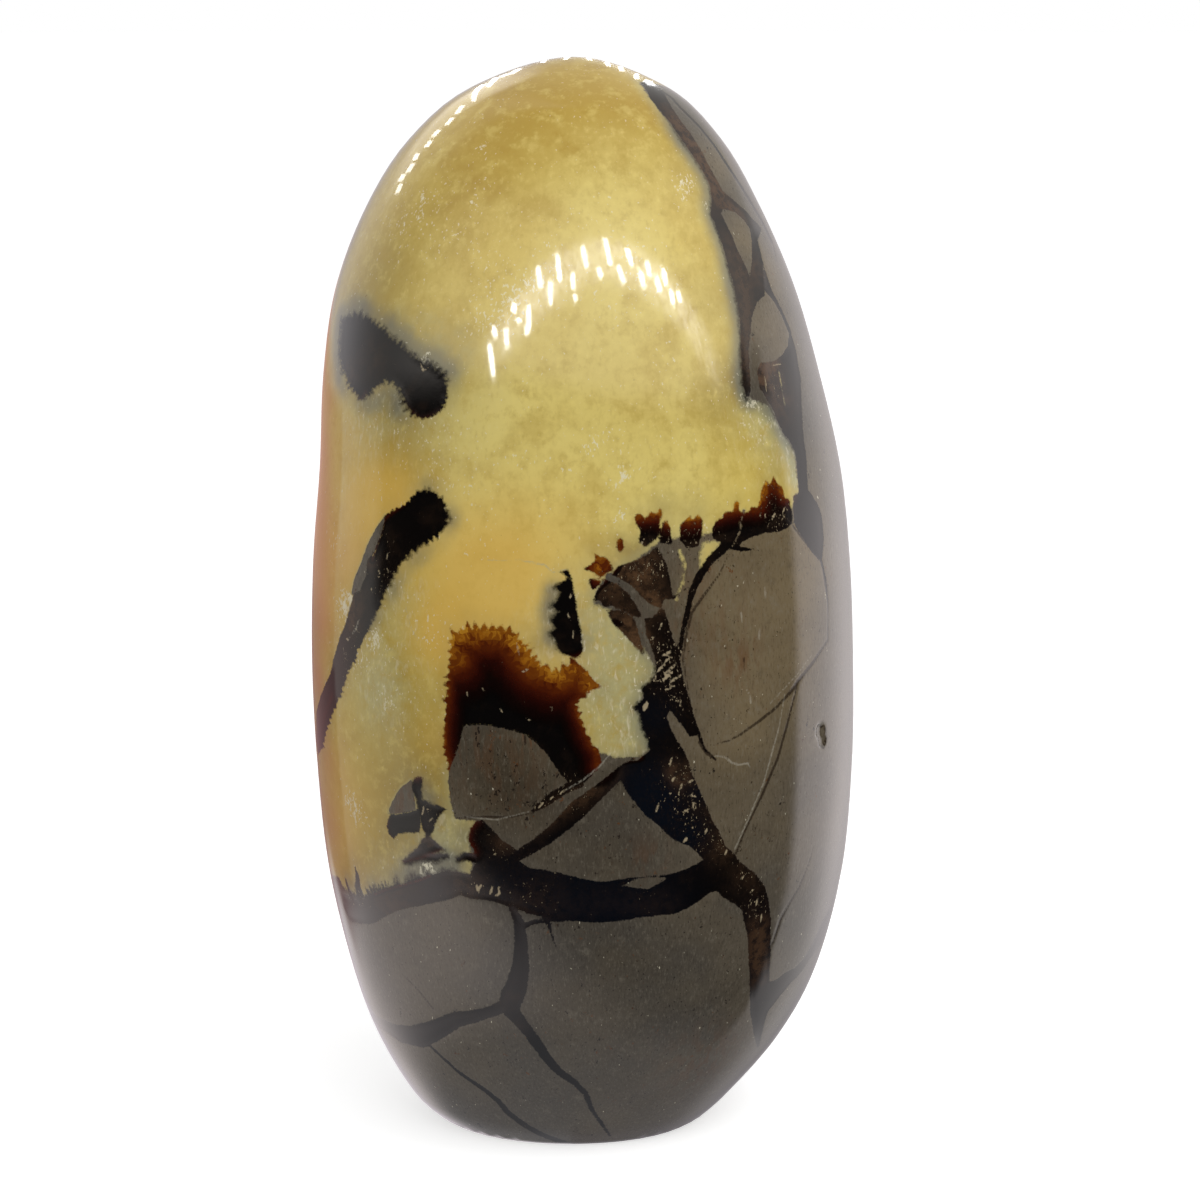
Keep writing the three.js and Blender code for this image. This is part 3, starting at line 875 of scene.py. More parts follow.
def wandering(rows):
    """A path round the side, with a natural wriggle between its rows."""
    draw = np.random.default_rng(WANDER_SEED)
    for _ in range(WANDER_ROUNDS):
        finer = list(rows[:1])
        for (turn_0, height_0), (turn_1, height_1) in zip(rows, rows[1:]):
            reach = WANDER * math.hypot((turn_1 - turn_0) / DEGREES_PER_MM, height_1 - height_0)
            aside, upward = draw.uniform(-reach, reach, 2)
            turn, height = (turn_0 + turn_1) / 2 + aside * DEGREES_PER_MM, (height_0 + height_1) / 2 + upward
            finer += [(turn, height), (turn_1, height_1)]
        rows = finer
    return rows


def uneven(widths):
    """A vein's widths with swellings and necks between them."""
    draw = np.random.default_rng(WANDER_SEED)
    along = np.linspace(0, len(widths) - 1, WIDTHS_BETWEEN * len(widths))
    finer = np.interp(along, np.arange(len(widths)), widths)
    return finer * draw.uniform(NARROWEST, WIDEST, len(finer))


# ---------------------------------------------------------------- painting the fields

CALCITE, DARK, MUD = 0, 1, 2
CLEARANCE, HAIR = 2, 3  # rows of the fields; the calcite's and the dark calcite's are 0 and 1
COVER = 0.4  # mm inside the dark calcite, where a border beneath it no longer shows
BLOCK_EDGE = 4  # how much faster the calcite's measure falls inside a block of mudstone
BLOCK_MARGIN = 0.14  # mm, how far outside the block it has already fallen to nothing


def mineral_layers():
    """The markings in the order they cover each other: what each one is, and its measure."""
    calcite_seen = seen(*CALCITE_RIGHT_EDGE, *CALCITE_UNDER_PATCH, *CALCITE_LOWER_EDGE)
    layers = [(CALCITE, area(calcite_seen + round_the_side(*wandering(CALCITE_ROUND_THE_BACK))))]
    for rows, widths in BACK_VEINS:
        layers.append((DARK, stroke(round_the_side(*wandering(rows)), uneven(widths))))
    patch = PATCH_TOP + PATCH_UNDER
    for outline in (UPPER_BLOB, CLUB, CLUB_STRIP, patch, DASH, *BAND_PIECES, *AMBER_CRYSTALS):
        layers.append((DARK, area(seen(*outline))))
    for outline in (CLUB_SLIVER, BLOCK_D, FRAGMENT_BLOCK):
        layers.append((MUD, area(seen(*outline))))
    for outline in (TRUNK, *FRAGMENTS, *RIGHT_VEINS):
        layers.append((DARK, area(seen(*outline))))
    for outline in (*BLOCKS_IN_TRUNK, RIGHT_BLOCK, PALE_SLIVER):
        layers.append((MUD, area(seen(*outline))))
    layers.append((CALCITE, area(seen(*PALE_WEDGE))))
    layers += [(DARK, drawn(line)) for line in (*THIN_VEINS, AMBER_VEIN)]
    layers += [(CALCITE, drawn(line)) for line in PALE_VEINLETS]
    return [*layers, (MUD, drawn(GREY_VEINLET))]


def drawn(line):
    """The measure of a line given in pixels, with its widths."""
    pixels, widths = line
    return stroke(seen(*pixels), np.array(widths) / PIXELS_PER_MM)


def slivers():
    """The slivers as lines: their pixels, and their widths in pixels."""
    made = list(UNEVEN_SLIVERS)
    for end, rows in SLIVERS.items():
        made += [([(x0, y0), (x1, y1)], [end, middle, end]) for x0, y0, x1, y1, middle in rows]
    return made


def hairlines():
    """The measures of the open cracks, those that the front shows and those round the back."""
    made = [drawn(line) for line in HAIRLINES]
    return made + [stroke(round_the_side(*wandering(rows)), widths) for rows, widths in BACK_HAIRLINES]


TINTS = {
    "pale": PALE_SPOTS, "orange": ORANGE_SPOTS, "dull": DULL_SPOTS, "cream": CREAM_SPOTS, "warm": WARM_SPOTS,
    "rust": RUST_SPOTS, "frost_and_glare": FROST_AND_GLARE_SPOTS, "grains": GRAIN_SPOTS, "blue": BLUE_SPOTS, "halo": HALO_SPOTS,
    "deep": DEEP_SPOTS, "shade": SHADE_SPOTS, "pink_reflection": PINK_REFLECTION_SPOTS, "smoke": SMOKE_SPOTS,
}
FIELD_NAMES = ["calcite", "dark", "clearance", "hair", "scar", "sliver", "rim", "along", *TINTS]


class Paint:
    """Measures points of the surface against every marking."""

    def __init__(self):
        self.layers = mineral_layers()
        self.hairs = hairlines()
        self.scars = [drawn(line) for line in SCARS]
        self.slivers = [drawn(line) for line in slivers()]
        self.unstained = spots(UNSTAINED_SPOTS)
        self.ambers = [depth(seen(*pixels), deep, start) for pixels, deep, start in AMBER_EDGES]
        self.ambers += [depth(round_the_side(*rows), deep, start) for rows, deep, start in BACK_AMBERS]
        self.tints = [spots(places, BACK_TINTS.get(name, ())) for name, places in TINTS.items()]

    def fields(self, points):
        """A row for each of the field names."""
        calcite = np.full(len(points), -REACH)
        dark = np.full(len(points), -REACH)
        block = np.full(len(points), REACH)
        for kind, measure in self.layers:
            signed = measure(points)
            if kind == CALCITE:
                calcite = np.maximum(calcite, signed)
                dark = np.minimum(dark, -signed)
            elif kind == DARK:
                dark = np.maximum(dark, signed)
            else:
                calcite = np.minimum(calcite, -BLOCK_EDGE * (signed + BLOCK_MARGIN))
                dark = np.minimum(dark, -signed)
                block = np.minimum(block, np.abs(signed))
        hair = np.max([measure(points) for measure in self.hairs], axis=0)
        scar = np.max([measure(points) for measure in self.scars], axis=0)
        sliver = np.max([measure(points) for measure in self.slivers], axis=0)
        buried = dark > COVER
        shown = np.min([np.abs(calcite), block, np.abs(hair), np.abs(scar)], axis=0)
        clearance = np.minimum(np.abs(dark), np.where(buried, np.abs(sliver), shown))
        rims, alongs = np.array([measure(points) for measure in self.ambers]).transpose(1, 0, 2)
        nearest = rims.argmin(axis=0)[None]
        rim = np.take_along_axis(rims, nearest, axis=0)[0] + NO_AMBER * self.unstained(points)
        along = np.take_along_axis(alongs, nearest, axis=0)[0]
        tints = [measure(points) for measure in self.tints]
        return np.stack([calcite, dark, clearance, hair, scar, sliver, rim, along, *tints])


# ---------------------------------------------------------------- the fine mesh

FINE = 0.48  # mm, an edge's greatest length on a marking's border
WIDE = 2.6  # mm, its greatest length far from one
HIDDEN_SIDE = 1.7  # how many times longer edges may be on the side away from the front
SPREAD = 1.05  # how fast edges grow away from a border
FRONT_ENDS = 8.0  # mm, the y past which the front no longer shows the surface
ROUNDS = 14
COARSE_AROUND = 48
COARSE_STEP = 0.4  # of a level
COARSE_SIDES = np.arange(COARSE_STEP, CROWN - 0.3, COARSE_STEP)
COARSE_LEVELS = [-1, -0.75, -0.5, -0.25, 0, *COARSE_SIDES, CROWN - 0.25, CROWN]


def coarse_faces():
    """Levels, azimuths and triangles of a first mesh: rings from the base's centre to the crown."""
    rings = len(COARSE_LEVELS) - 2
    level = np.repeat(COARSE_LEVELS[1:-1], COARSE_AROUND)
    azimuth = np.tile(np.linspace(0, 2 * math.pi, COARSE_AROUND, endpoint=False), rings)
    a, b, c, d = ring_corners(rings, COARSE_AROUND)
    sides = np.concatenate([np.stack([a, b, c], -1).reshape(-1, 3), np.stack([a, c, d], -1).reshape(-1, 3)])
    place = np.arange(COARSE_AROUND)
    after = (place + 1) % COARSE_AROUND
    base, crown, top = len(level), len(level) + 1, (rings - 1) * COARSE_AROUND
    bottom_fan = np.stack([np.full_like(place, base), after, place], -1)
    top_fan = np.stack([top + place, top + after, np.full_like(place, crown)], -1)
    level = np.append(level, [-1, CROWN])
    azimuth = np.append(azimuth, [0, 0])
    return level, azimuth, np.concatenate([sides, bottom_fan, top_fan])


def halfway(level, azimuth, edges):
    """The middles of edges. At the crown and the base's centre only the other end's azimuth counts."""
    a, b = edges.T
    turn = (azimuth[b] - azimuth[a] + math.pi) % (2 * math.pi) - math.pi
    pole_a = (level[a] <= -1) | (level[a] >= CROWN)
    pole_b = (level[b] <= -1) | (level[b] >= CROWN)
    middle = np.where(pole_a, azimuth[b], np.where(pole_b, azimuth[a], azimuth[a] + turn / 2))
    return (level[a] + level[b]) / 2, middle


def longest_first(faces, lengths):
    """The faces' corners turned so that the longest edge is the first one."""
    first = lengths.argmax(axis=1)
    order = (first[:, None] + np.arange(3)) % 3
    return np.take_along_axis(faces, order, axis=1)


def split_long_edges(level, azimuth, faces, size):
    """One round of splitting the edges longer than wanted. Returns the mesh and how many were split."""
    points = surface_point(level, azimuth)
    ends = faces[:, [0, 1, 1, 2, 2, 0]].reshape(-1, 2)
    lengths = np.linalg.norm(points[ends[:, 0]] - points[ends[:, 1]], axis=1).reshape(-1, 3)
    faces = longest_first(faces, lengths)
    ends = np.sort(faces[:, [0, 1, 1, 2, 2, 0]].reshape(-1, 2), axis=1)
    edges, edge_of = np.unique(ends, axis=0, return_inverse=True)
    edge_of = edge_of.reshape(-1, 3)
    length = np.linalg.norm(points[edges[:, 0]] - points[edges[:, 1]], axis=1)
    marked = length > size[edges].min(axis=1)
    while True:
        needs = marked[edge_of].any(axis=1) & ~marked[edge_of[:, 0]]
        if not needs.any():
            break
        marked[edge_of[needs, 0]] = True
    middle = np.where(marked, len(level) + np.cumsum(marked) - 1, -1)
    new_level, new_azimuth = halfway(level, azimuth, edges[marked])
    a, b, c = faces.T
    ab, bc, ca = middle[edge_of].T
    whole, right, left = ab < 0, bc >= 0, ca >= 0
    pieces = [
        (whole, (a, b, c)),
        (~whole & ~left, (a, ab, c)),
        (left, (a, ab, ca)),
        (left, (ca, ab, c)),
        (~whole & ~right, (ab, b, c)),
        (right, (ab, b, bc)),
        (right, (ab, bc, c)),
    ]
    faces = np.concatenate([np.stack(corners, axis=-1)[chosen] for chosen, corners in pieces])
    return np.append(level, new_level), np.append(azimuth, new_azimuth), faces, int(marked.sum())


def fine_skin(paint):
    """Levels, azimuths, triangles and fields of the surface, with small triangles along every border."""
    level, azimuth, faces = coarse_faces()
    fields = paint.fields(surface_point(level, azimuth))
    for _ in range(ROUNDS):
        size = np.clip(FINE + SPREAD * (fields[CLEARANCE] - FINE), FINE, WIDE)
        behind = surface_point(level, azimuth)[:, 1] > FRONT_ENDS
        size = np.where(behind, np.minimum(size * HIDDEN_SIDE, WIDE), size)
        known = len(level)
        level, azimuth, faces, count = split_long_edges(level, azimuth, faces, size)
        if count == 0:
            break
        fields = np.hstack([fields, paint.fields(surface_point(level[known:], azimuth[known:]))])
    return level, azimuth, faces, fields


NORMAL_STEP = 0.01  # of a level and of a radian
UNDERSIDE = -0.001  # points below this level lie on the flat base


def smooth_normals(level, azimuth):
    """The smooth surface's own normals."""
    level = np.clip(level, None, CROWN - 2 * NORMAL_STEP)
    side = np.maximum(level, 0)
    below = np.maximum(level - NORMAL_STEP, 0)
    up = surface_point(side + NORMAL_STEP, azimuth) - surface_point(below, azimuth)
    across = surface_point(side, azimuth + NORMAL_STEP) - surface_point(side, azimuth - NORMAL_STEP)
    normals = np.cross(across, up)
    normals /= np.linalg.norm(normals, axis=1)[:, None]
    normals[level < UNDERSIDE] = (0, 0, -1)
    return normals


def mesh_normals(points, faces):
    """A mesh's own vertex normals: the mean direction of the faces at each vertex."""
    a, b, c = points[faces].transpose(1, 0, 2)
    flat = np.cross(b - a, c - a)
    flat /= np.maximum(np.linalg.norm(flat, axis=1), SMALLEST_SQUARE)[:, None]
    normals = np.zeros_like(points)
    for i in range(3):
        np.add.at(normals, faces[:, i], flat)
    return normals / np.maximum(np.linalg.norm(normals, axis=1), SMALLEST_SQUARE)[:, None]


# ---------------------------------------------------------------- relief

VEIN_DIP = 0.02  # mm, how far the dark calcite is polished below the rest
VEIN_SHOULDER = 0.8  # mm, how far inside the border the dip would be whole if it began there
VEIN_START = 0.3  # the share of the dip at the border
CRACK_DIP = 0.03
CRACK_SHOULDER = 0.2
CRACK_START = 0.4
WAVE_HEIGHT = 0.022
WAVE_LENGTH = 17.0
WAVES = 9
WAVE_SEED = 21
FOOT = 3  # mm, the height over which the relief fades out towards the flat base
PIT_DEPTH = 0.45  # for a pit of radius 1
PITS = [  # pixel and radius in mm
    (821, 731, 1.0), (823, 741, 0.8), (714, 726, 0.35), (735, 1053, 0.4), (648, 970, 0.3),
    (560, 1000, 0.25),
]


def waves(points):
    """The slow unevenness of a surface polished by hand."""
    draw = np.random.default_rng(WAVE_SEED)
    total = np.zeros(len(points))
    for _ in range(WAVES):
        direction = draw.normal(size=3)
        direction /= np.linalg.norm(direction)
        total += np.sin(points @ direction * 2 * math.pi / WAVE_LENGTH + draw.uniform(0, 2 * math.pi))
    return total * WAVE_HEIGHT / WAVES


def relief(points, fields):
    """How far each point lies below the smooth surface, in mm."""
    dip = VEIN_DIP * np.clip(fields[DARK] / VEIN_SHOULDER + VEIN_START, 0, 1)
    dip = np.maximum(dip, CRACK_DIP * np.clip(fields[HAIR] / CRACK_SHOULDER + CRACK_START, 0, 1))
    for x, y, radius in PITS:
        away = np.linalg.norm(points - np.array(hit(x, y)), axis=1)
        dip += PIT_DEPTH * radius * np.exp(-((away / radius) ** 4))
    return (dip + waves(points) + WAVE_HEIGHT) * np.clip(points[:, 2] / FOOT, 0, 1)


# ---------------------------------------------------------------- the stone's object

SEAM_MARGIN = 0.12  # radians of the baking map kept for the faces across the seam at the back
PROFILE_STEPS = 400


def unrolled(level, azimuth, faces):
    """Each face corner's place on the map the materials are baked to."""
    profile_levels = np.linspace(-1, CROWN, PROFILE_STEPS)
    profile = surface_point(profile_levels, np.zeros(PROFILE_STEPS))
    steps = np.linalg.norm(np.diff(profile, axis=0), axis=1)
    along = np.append(0, np.cumsum(steps)) / steps.sum()
    upward = np.interp(level, profile_levels, along)
    turn = (azimuth + math.pi) % (2 * math.pi)
    corners = turn[faces]
    pole = (level <= -1) | (level >= CROWN)
    pole_corner = pole[faces]
    widest = np.where(pole_corner, -1, corners).max(axis=1)
    corners = np.where((corners < widest[:, None] - math.pi) & ~pole_corner, corners + 2 * math.pi, corners)
    others = np.where(pole_corner, 0, corners).sum(axis=1) / np.maximum((~pole_corner).sum(axis=1), 1)
    corners = np.where(pole_corner, others[:, None], corners)
    return np.stack([corners / (2 * math.pi + SEAM_MARGIN), upward[faces]], axis=-1)


def make_stone(material):
    """The stone: a fine mesh that carries the markings' fields, with normals as smooth as the polish."""
    level, azimuth, faces, fields = fine_skin(Paint())
    smooth = surface_point(level, azimuth)
    normals = smooth_normals(level, azimuth)
    points = smooth - normals * relief(smooth, fields)[:, None]
    bent = normals + mesh_normals(points, faces) - mesh_normals(smooth, faces)
    bent /= np.linalg.norm(bent, axis=1)[:, None]

    mesh = bpy.data.meshes.new("septarian_stone")
    mesh.vertices.add(len(points))
    mesh.vertices.foreach_set("co", (points * MM).astype(np.float32).ravel())
    mesh.loops.add(faces.size)
    mesh.loops.foreach_set("vertex_index", faces.astype(np.int32).ravel())
    mesh.polygons.add(len(faces))
    mesh.polygons.foreach_set("loop_start", np.arange(0, faces.size, 3, dtype=np.int32))
    mesh.update(calc_edges=True)
    mesh.polygons.foreach_set("use_smooth", np.ones(len(faces), bool))
    baking_map = mesh.uv_layers.new(name="OFBake")
    baking_map.data.foreach_set("uv", unrolled(level, azimuth, faces).astype(np.float32).ravel())
    for name, row in zip(FIELD_NAMES, fields):
        attribute = mesh.attributes.new(name, "FLOAT", "POINT")
        attribute.data.foreach_set("value", row.astype(np.float32))
    mesh.normals_split_custom_set_from_vertices(bent.tolist())
    mesh.validate()
    mesh.materials.append(material)
    stone = bpy.data.objects.new("septarian_stone", mesh)
    bpy.context.scene.collection.objects.link(stone)
    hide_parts("nodule")
    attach(stone, "root")


# ---------------------------------------------------------------- the colours

def linear(red, green, blue):
    """A colour given in screen values, 0 to 255, as the linear colour that a shader takes."""
    shares = [value / 255 for value in (red, green, blue)]
    return tuple(s / 12.92 if s <= 0.04045 else ((s + 0.055) / 1.055) ** 2.4 for s in shares) + (1,)


GOLD = linear(226, 196, 92)
DEEP_GOLD = linear(192, 158, 62)
CREAM = linear(249, 228, 136)
PALE = linear(198, 190, 138)
ORANGE = linear(248, 200, 94)
PAINTED_PINK_REFLECTION = linear(222, 156, 88)
OLIVE = linear(152, 130, 76)
HALO = linear(108, 112, 108)
WHITE_FLECK = linear(252, 244, 214)
BROWN_SPECK = linear(120, 84, 40)
MUD_WARM = linear(130, 114, 86)
MUD_COOL = linear(90, 84, 75)
MUD_DARK = linear(56, 48, 38)
MUD_PALE = linear(140, 132, 116)
SCAR = linear(196, 190, 172)
PIT = linear(28, 20, 15)
RUST = linear(110, 70, 40)
VEIN_BLACK = linear(7, 6, 7)
VEIN_BLUE = linear(8, 16, 27)
VEIN_BROWN = linear(40, 27, 18)
SMOKE = linear(92, 66, 44)
VEIN_FLECK = linear(192, 174, 140)
AMBER_STOPS = [
    (0.0, linear(202, 142, 36)),
    (0.1, linear(164, 98, 14)),
    (0.22, linear(136, 74, 8)),
    (0.36, linear(104, 42, 3)),
    (0.5, linear(74, 20, 2)),
    (0.63, linear(46, 6, 1)),
    (0.8, linear(20, 2, 1)),
    (1.0, linear(2, 1, 2)),
]

# The colours' patterns, each a noise. The scale is per millimetre.
MUD_CLOUDS = {"scale": 0.07, "detail": 4}
MUD_BANDS = {"stretch": (0.05, 0.05, 0.09), "scale": 1.0, "detail": 5, "roughness": 0.6, "distortion": 0.4}
BLOTCHES = {"scale": 0.5, "detail": 5, "roughness": 0.65}
MUD_GRAIN = {"stretch": (1.0, 1.0, 0.3), "scale": 3.6, "detail": 3, "roughness": 0.7}
RUST_STREAKS = {"stretch": (1.0, 1.0, 0.25), "scale": 0.9, "detail": 3, "roughness": 0.6}
PIT_REGIONS = {"scale": 0.18, "detail": 2}
PIT_HOLES = {"stretch": (1.0, 1.0, 0.75), "scale": 1.25, "detail": 4, "roughness": 0.75}
PIT_LININGS = {"scale": 0.4, "detail": 1}
MUD_SPECKS = {"stretch": (1.0, 1.0, 0.6), "scale": 3.1, "detail": 2}
MUD_GLINTS = {"stretch": (1.1, 1.1, 0.5), "scale": 2.2, "detail": 2}
CALCITE_CLOUDS = {"scale": 0.06, "detail": 4, "roughness": 0.55}
WISPS = {"scale": 0.17, "detail": 5, "roughness": 0.6}
CURD = {"scale": 0.5, "detail": 5, "roughness": 0.62}
FIBRES = {"stretch": (1.0, 1.0, 0.55), "scale": 1.3, "detail": 4, "roughness": 0.6}
NEEDLES = {"stretch": (1.0, 1.0, 0.35), "scale": 1.7, "detail": 3, "roughness": 0.6, "distortion": 0.6}
FROST_PATCHES = {"scale": 0.2, "detail": 3}
FEATHERS = {"stretch": (1.0, 1.0, 0.45), "scale": 1.5, "detail": 4, "roughness": 0.65, "distortion": 0.8}
SPARKS = {"stretch": (1.0, 1.0, 0.7), "scale": 2.6, "detail": 1}
CALCITE_SPECKS = {"scale": 0.8, "detail": 3, "roughness": 0.6}
AMBER_SWAY = {"scale": 0.8, "detail": 2}
VEIN_TONES = {"scale": 0.3, "detail": 5, "roughness": 0.6}
VEIN_MOTTLE = {"scale": 0.8, "detail": 4, "roughness": 0.65}
VEIN_CRUMBS = {"stretch": (1.2, 1.2, 0.75), "scale": 2.5, "detail": 3, "roughness": 0.7}
FUZZ = {"scale": 1.3, "detail": 5, "roughness": 0.7}
FINE_FUZZ = {"scale": 3.2, "detail": 3, "roughness": 0.6}
CHIPS = {"scale": 0.9, "detail": 3, "roughness": 0.6}
SMEARS = {"scale": 0.25, "detail": 4}
SCRATCHES = {"stretch": (0.7, 0.7, 2.0), "scale": 2.6, "detail": 4, "roughness": 0.7}
UNEVENNESS = {"scale": 1.1, "detail": 4, "roughness": 0.6}

# Tints: where in a pattern the tint begins, where it is whole, its greatest share and its colour.
BAND_TINTS = [(0.42, 0.72, 0.25, MUD_DARK)]
BLOTCH_TINTS = [(0.45, 0.25, 0.3, MUD_DARK), (0.55, 0.8, 0.4, MUD_PALE)]
GRAIN_TINTS = [(0.52, 0.75, 0.42, MUD_PALE), (0.48, 0.25, 0.5, MUD_DARK)]
MUD_SPECK_TINTS = [(0.685, 0.74, 0.75, PIT)]
GLINT_TINTS = [(0.735, 0.78, 0.7, WHITE_FLECK)]
CURD_TINTS = [(0.5, 0.3, 0.3, DEEP_GOLD), (0.5, 0.7, 0.3, CREAM)]
FIBRE_TINTS = [(0.48, 0.25, 0.25, DEEP_GOLD), (0.54, 0.8, 0.4, CREAM)]
EDGE_TINTS = [(1.8, 0.0, 0.4, PALE)]  # by the depth in mm within the calcite
SPARK_TINTS = [(0.01, 0.07, 0.5, WHITE_FLECK)]
CALCITE_SPECK_TINTS = [(0.76, 0.79, 0.6, BROWN_SPECK)]
CRYSTAL_TINTS = [(0.0, 0.07, 0.75, VEIN_FLECK)]
SLIVER_TINTS = [(-0.1, 0.08, 0.85, VEIN_FLECK)]

# Fields that a pattern adds to: where in the pattern that begins, where it is whole and its greatest share.
WARM_CLOUDS = (0.35, 0.65, 0.25)
CREAM_CLOUDS = (0.42, 0.7, 0.3)
DEEP_WISPS = (0.45, 0.7, 0.4)
FROST_SPREAD = (0.42, 0.72, 0.3)
GRAIN_SPREAD = (0.45, 0.65, 0.25)

# The greatest share of a tint that a field alone lays on.
SHADE_SHARE = 0.75
DULL_SHARE = 0.75
ORANGE_SHARE = 0.75
PINK_REFLECTION_SHARE = 0.85

RUST_STEP = (0.42, 0.6)
PIT_REGION_STEP = (0.35, 0.65, 0.68, 0.62)  # from few pits to many: the last two are the pits' thresholds
SHADE_PITTING = -0.05  # the threshold is lower where the stone is shaded
PIT_WALL = 0.035
PIT_SHARE = 0.85
PIT_LINING_STEP = (0.5, 0.6)

PALE_CURD = (0.3, 0.6, 0.5, 1.0)
HALO_FUZZ = 2.0  # mm
HALO_NEARNESS = 1.6  # mm, how much nearer the dark calcite seems where its halo is painted
HALO_STEP = (-2.8, 1.0)  # mm
HALO_SHARES = (0.6, 0.15)  # where it is painted, and everywhere
NEEDLE_STEP = (0.5, 0.75)
NEEDLE_SHARE = 0.55
FROST_THRESHOLD = (-0.22, 0.73)  # how far the frost, which also carries the painted glare, lowers the feathers' threshold, and what it is without it
FLAKE_EDGE = 0.08
FLAKE_SHARE = 0.75

AMBER_ROWS = 7.0  # rows of crystal points between the amber's golden end and the black
AMBER_POINT = 1.25  # mm, the width of a crystal's point in the amber
ROW_SHIFT = 0.37  # of a point's width, from one row to the next
SWAY_SHARE = 2.0
POINT_EDGE = (-0.1, 0.1)
ROW_JITTER = (2.0, -1.0)
POINTS_FADE = (0.2, 0.55, 0.9, 0.0)  # where the points begin to fade and are gone, and their share at either
AMBER_RAGGEDNESS = 1.4

BROWN_STEP = (0.5, 0.8, 0.0, 0.7)
GRAIN_BROWN = 0.2
SMOKE_MOTTLE = (0.36, 0.6, 0.3, 1.0)
AMBER_ENDS = (0.9, 1.1)
CRUMB_THRESHOLD = (-0.14, 0.745)  # how far grains lower the crumbs' threshold, and what it is without them
BED_STEP = (0.45, 0.6)
BED_SHARE = 0.5
SLIVER_FUZZ = 0.35  # mm

CALCITE_FUZZ = 1.6  # mm
CALCITE_EDGE = (-0.2, 0.3)  # mm, here and below: where an edge begins and where it is whole
VEIN_FINE_FUZZ = 0.45
VEIN_CHIPS = 0.35
FRAYING = (0.9, 0.4)  # mm, the vein's fuzz in the calcite: by the halo, and everywhere
VEIN_EDGE_IN_MUD = (-0.08, 0.10)
SOFTEST_EDGE = (-0.7, -0.1)  # mm, where the vein's edge begins in the calcite: by the halo, and everywhere
VEIN_WHOLE = 0.2
HAIR_FUZZ = 0.3
HAIR_EDGE = (-0.12, 0.10)
HAIR_SHARE = 0.8
SCAR_SHARE = 0.45

SMEAR_STEP = (0.3, 0.7)
MUD_ROUGHNESS = (0.08, 0.13)
CALCITE_ROUGHNESS = (0.03, 0.055)
VEIN_ROUGHNESS = 0.07
SCRATCH_SHARE = 0.25  # of the calcite's unevenness
BUMP_STRENGTH = 0.13
BUMP_HEIGHT = 0.00002  # metres
STONE_IOR = 1.53
HAZE = 0.25  # a second, wider shine around the sharp one
HAZE_ROUGHNESS = 0.2


# ---------------------------------------------------------------- the material

class Nodes:
    """Makes a material's or world's nodes with few words."""

    def __init__(self, tree):
        self.tree = tree

    def add(self, kind, inputs=(), **settings):
        """A new node. An input is a number, a colour or another node's output."""
        node = self.tree.nodes.new(kind)
        for name, value in settings.items():
            setattr(node, name, value)
        for socket, value in dict(inputs).items():
            if isinstance(value, bpy.types.NodeSocket):
                self.tree.links.new(value, node.inputs[socket])
            else:
                node.inputs[socket].default_value = value
        return node

    def math(self, operation, a, b=0.0, c=0.0, clamp=False):
        inputs = {0: a, 1: b, 2: c}
        return self.add("ShaderNodeMath", inputs, operation=operation, use_clamp=clamp).outputs[0]

    def times(self, a, b):
        return self.math("MULTIPLY", a, b)

    def plus(self, a, b):
        return self.math("ADD", a, b)

    def minus(self, a, b):
        return self.math("SUBTRACT", a, b)

    def line(self, value, slope, start):
        """A value times a slope, plus where it starts."""
        return self.math("MULTIPLY_ADD", value, slope, start)

    def step(self, value, low, high, to_low=0.0, to_high=1.0):
        """A smooth step of a value between two limits."""
        inputs = {0: value, 1: low, 2: high, 3: to_low, 4: to_high}
        return self.add("ShaderNodeMapRange", inputs, interpolation_type="SMOOTHSTEP").outputs[0]

    def scaled(self, vector, factors):
        return self.add("ShaderNodeVectorMath", {0: vector, 1: factors}, operation="MULTIPLY").outputs[0]

    def noise(self, vector, scale, detail, roughness=0.5, distortion=0.0, stretch=None):
        """A noise from 0 to 1, drawn out along an axis where the stretch is below 1."""
        if stretch:
            vector = self.scaled(vector, stretch)
        inputs = {"Vector": vector, "Scale": scale, "Detail": detail, "Roughness": roughness}
        inputs["Distortion"] = distortion
        return self.add("ShaderNodeTexNoise", inputs).outputs[0]

    def evenly(self, vector, pattern):
        """A pattern's noise, moved to lie evenly about zero."""
        return self.minus(self.noise(vector, **pattern), 0.5)

    def mix(self, amount, a, b):
        """A colour between two colours."""
        return self.add("ShaderNodeMix", {0: amount, 6: a, 7: b}, data_type="RGBA").outputs[2]

    def blend(self, amount, a, b):
        """A number between two numbers."""
        return self.add("ShaderNodeMix", {0: amount, 2: a, 3: b}, data_type="FLOAT").outputs[0]

    def tinted(self, colour, value, tints):
        """A colour turned to each tint's own where the value passes between its limits."""
        for begins, whole, share, tint in tints:
            colour = self.mix(self.step(value, begins, whole, 0.0, share), colour, tint)
        return colour

    def ramp(self, value, stops):
        """The colour at a value, between the colours of the stops."""
        node = self.add("ShaderNodeValToRGB", {0: value})
        elements = node.color_ramp.elements
        elements[0].position, elements[0].color = stops[0]
        elements[1].position, elements[1].color = stops[-1]
        for position, colour in stops[1:-1]:
            elements.new(position).color = colour
        return node.outputs[0]

    def field(self, name):
        """One of the mesh's own fields."""
        return self.add("ShaderNodeAttribute", attribute_name=name).outputs["Fac"]

    def stained(self, colour, name, share, tint):
        """A colour turned towards a tint where a field's spots lie."""
        return self.mix(self.times(self.field(name), share), colour, tint)

    def spread(self, name, value, spread, clamp=True):
        """A field with a pattern's share added to it."""
        begins, whole, share = spread
        added = self.step(value, begins, whole)
        return self.math("MULTIPLY_ADD", added, share, self.field(name), clamp=clamp)


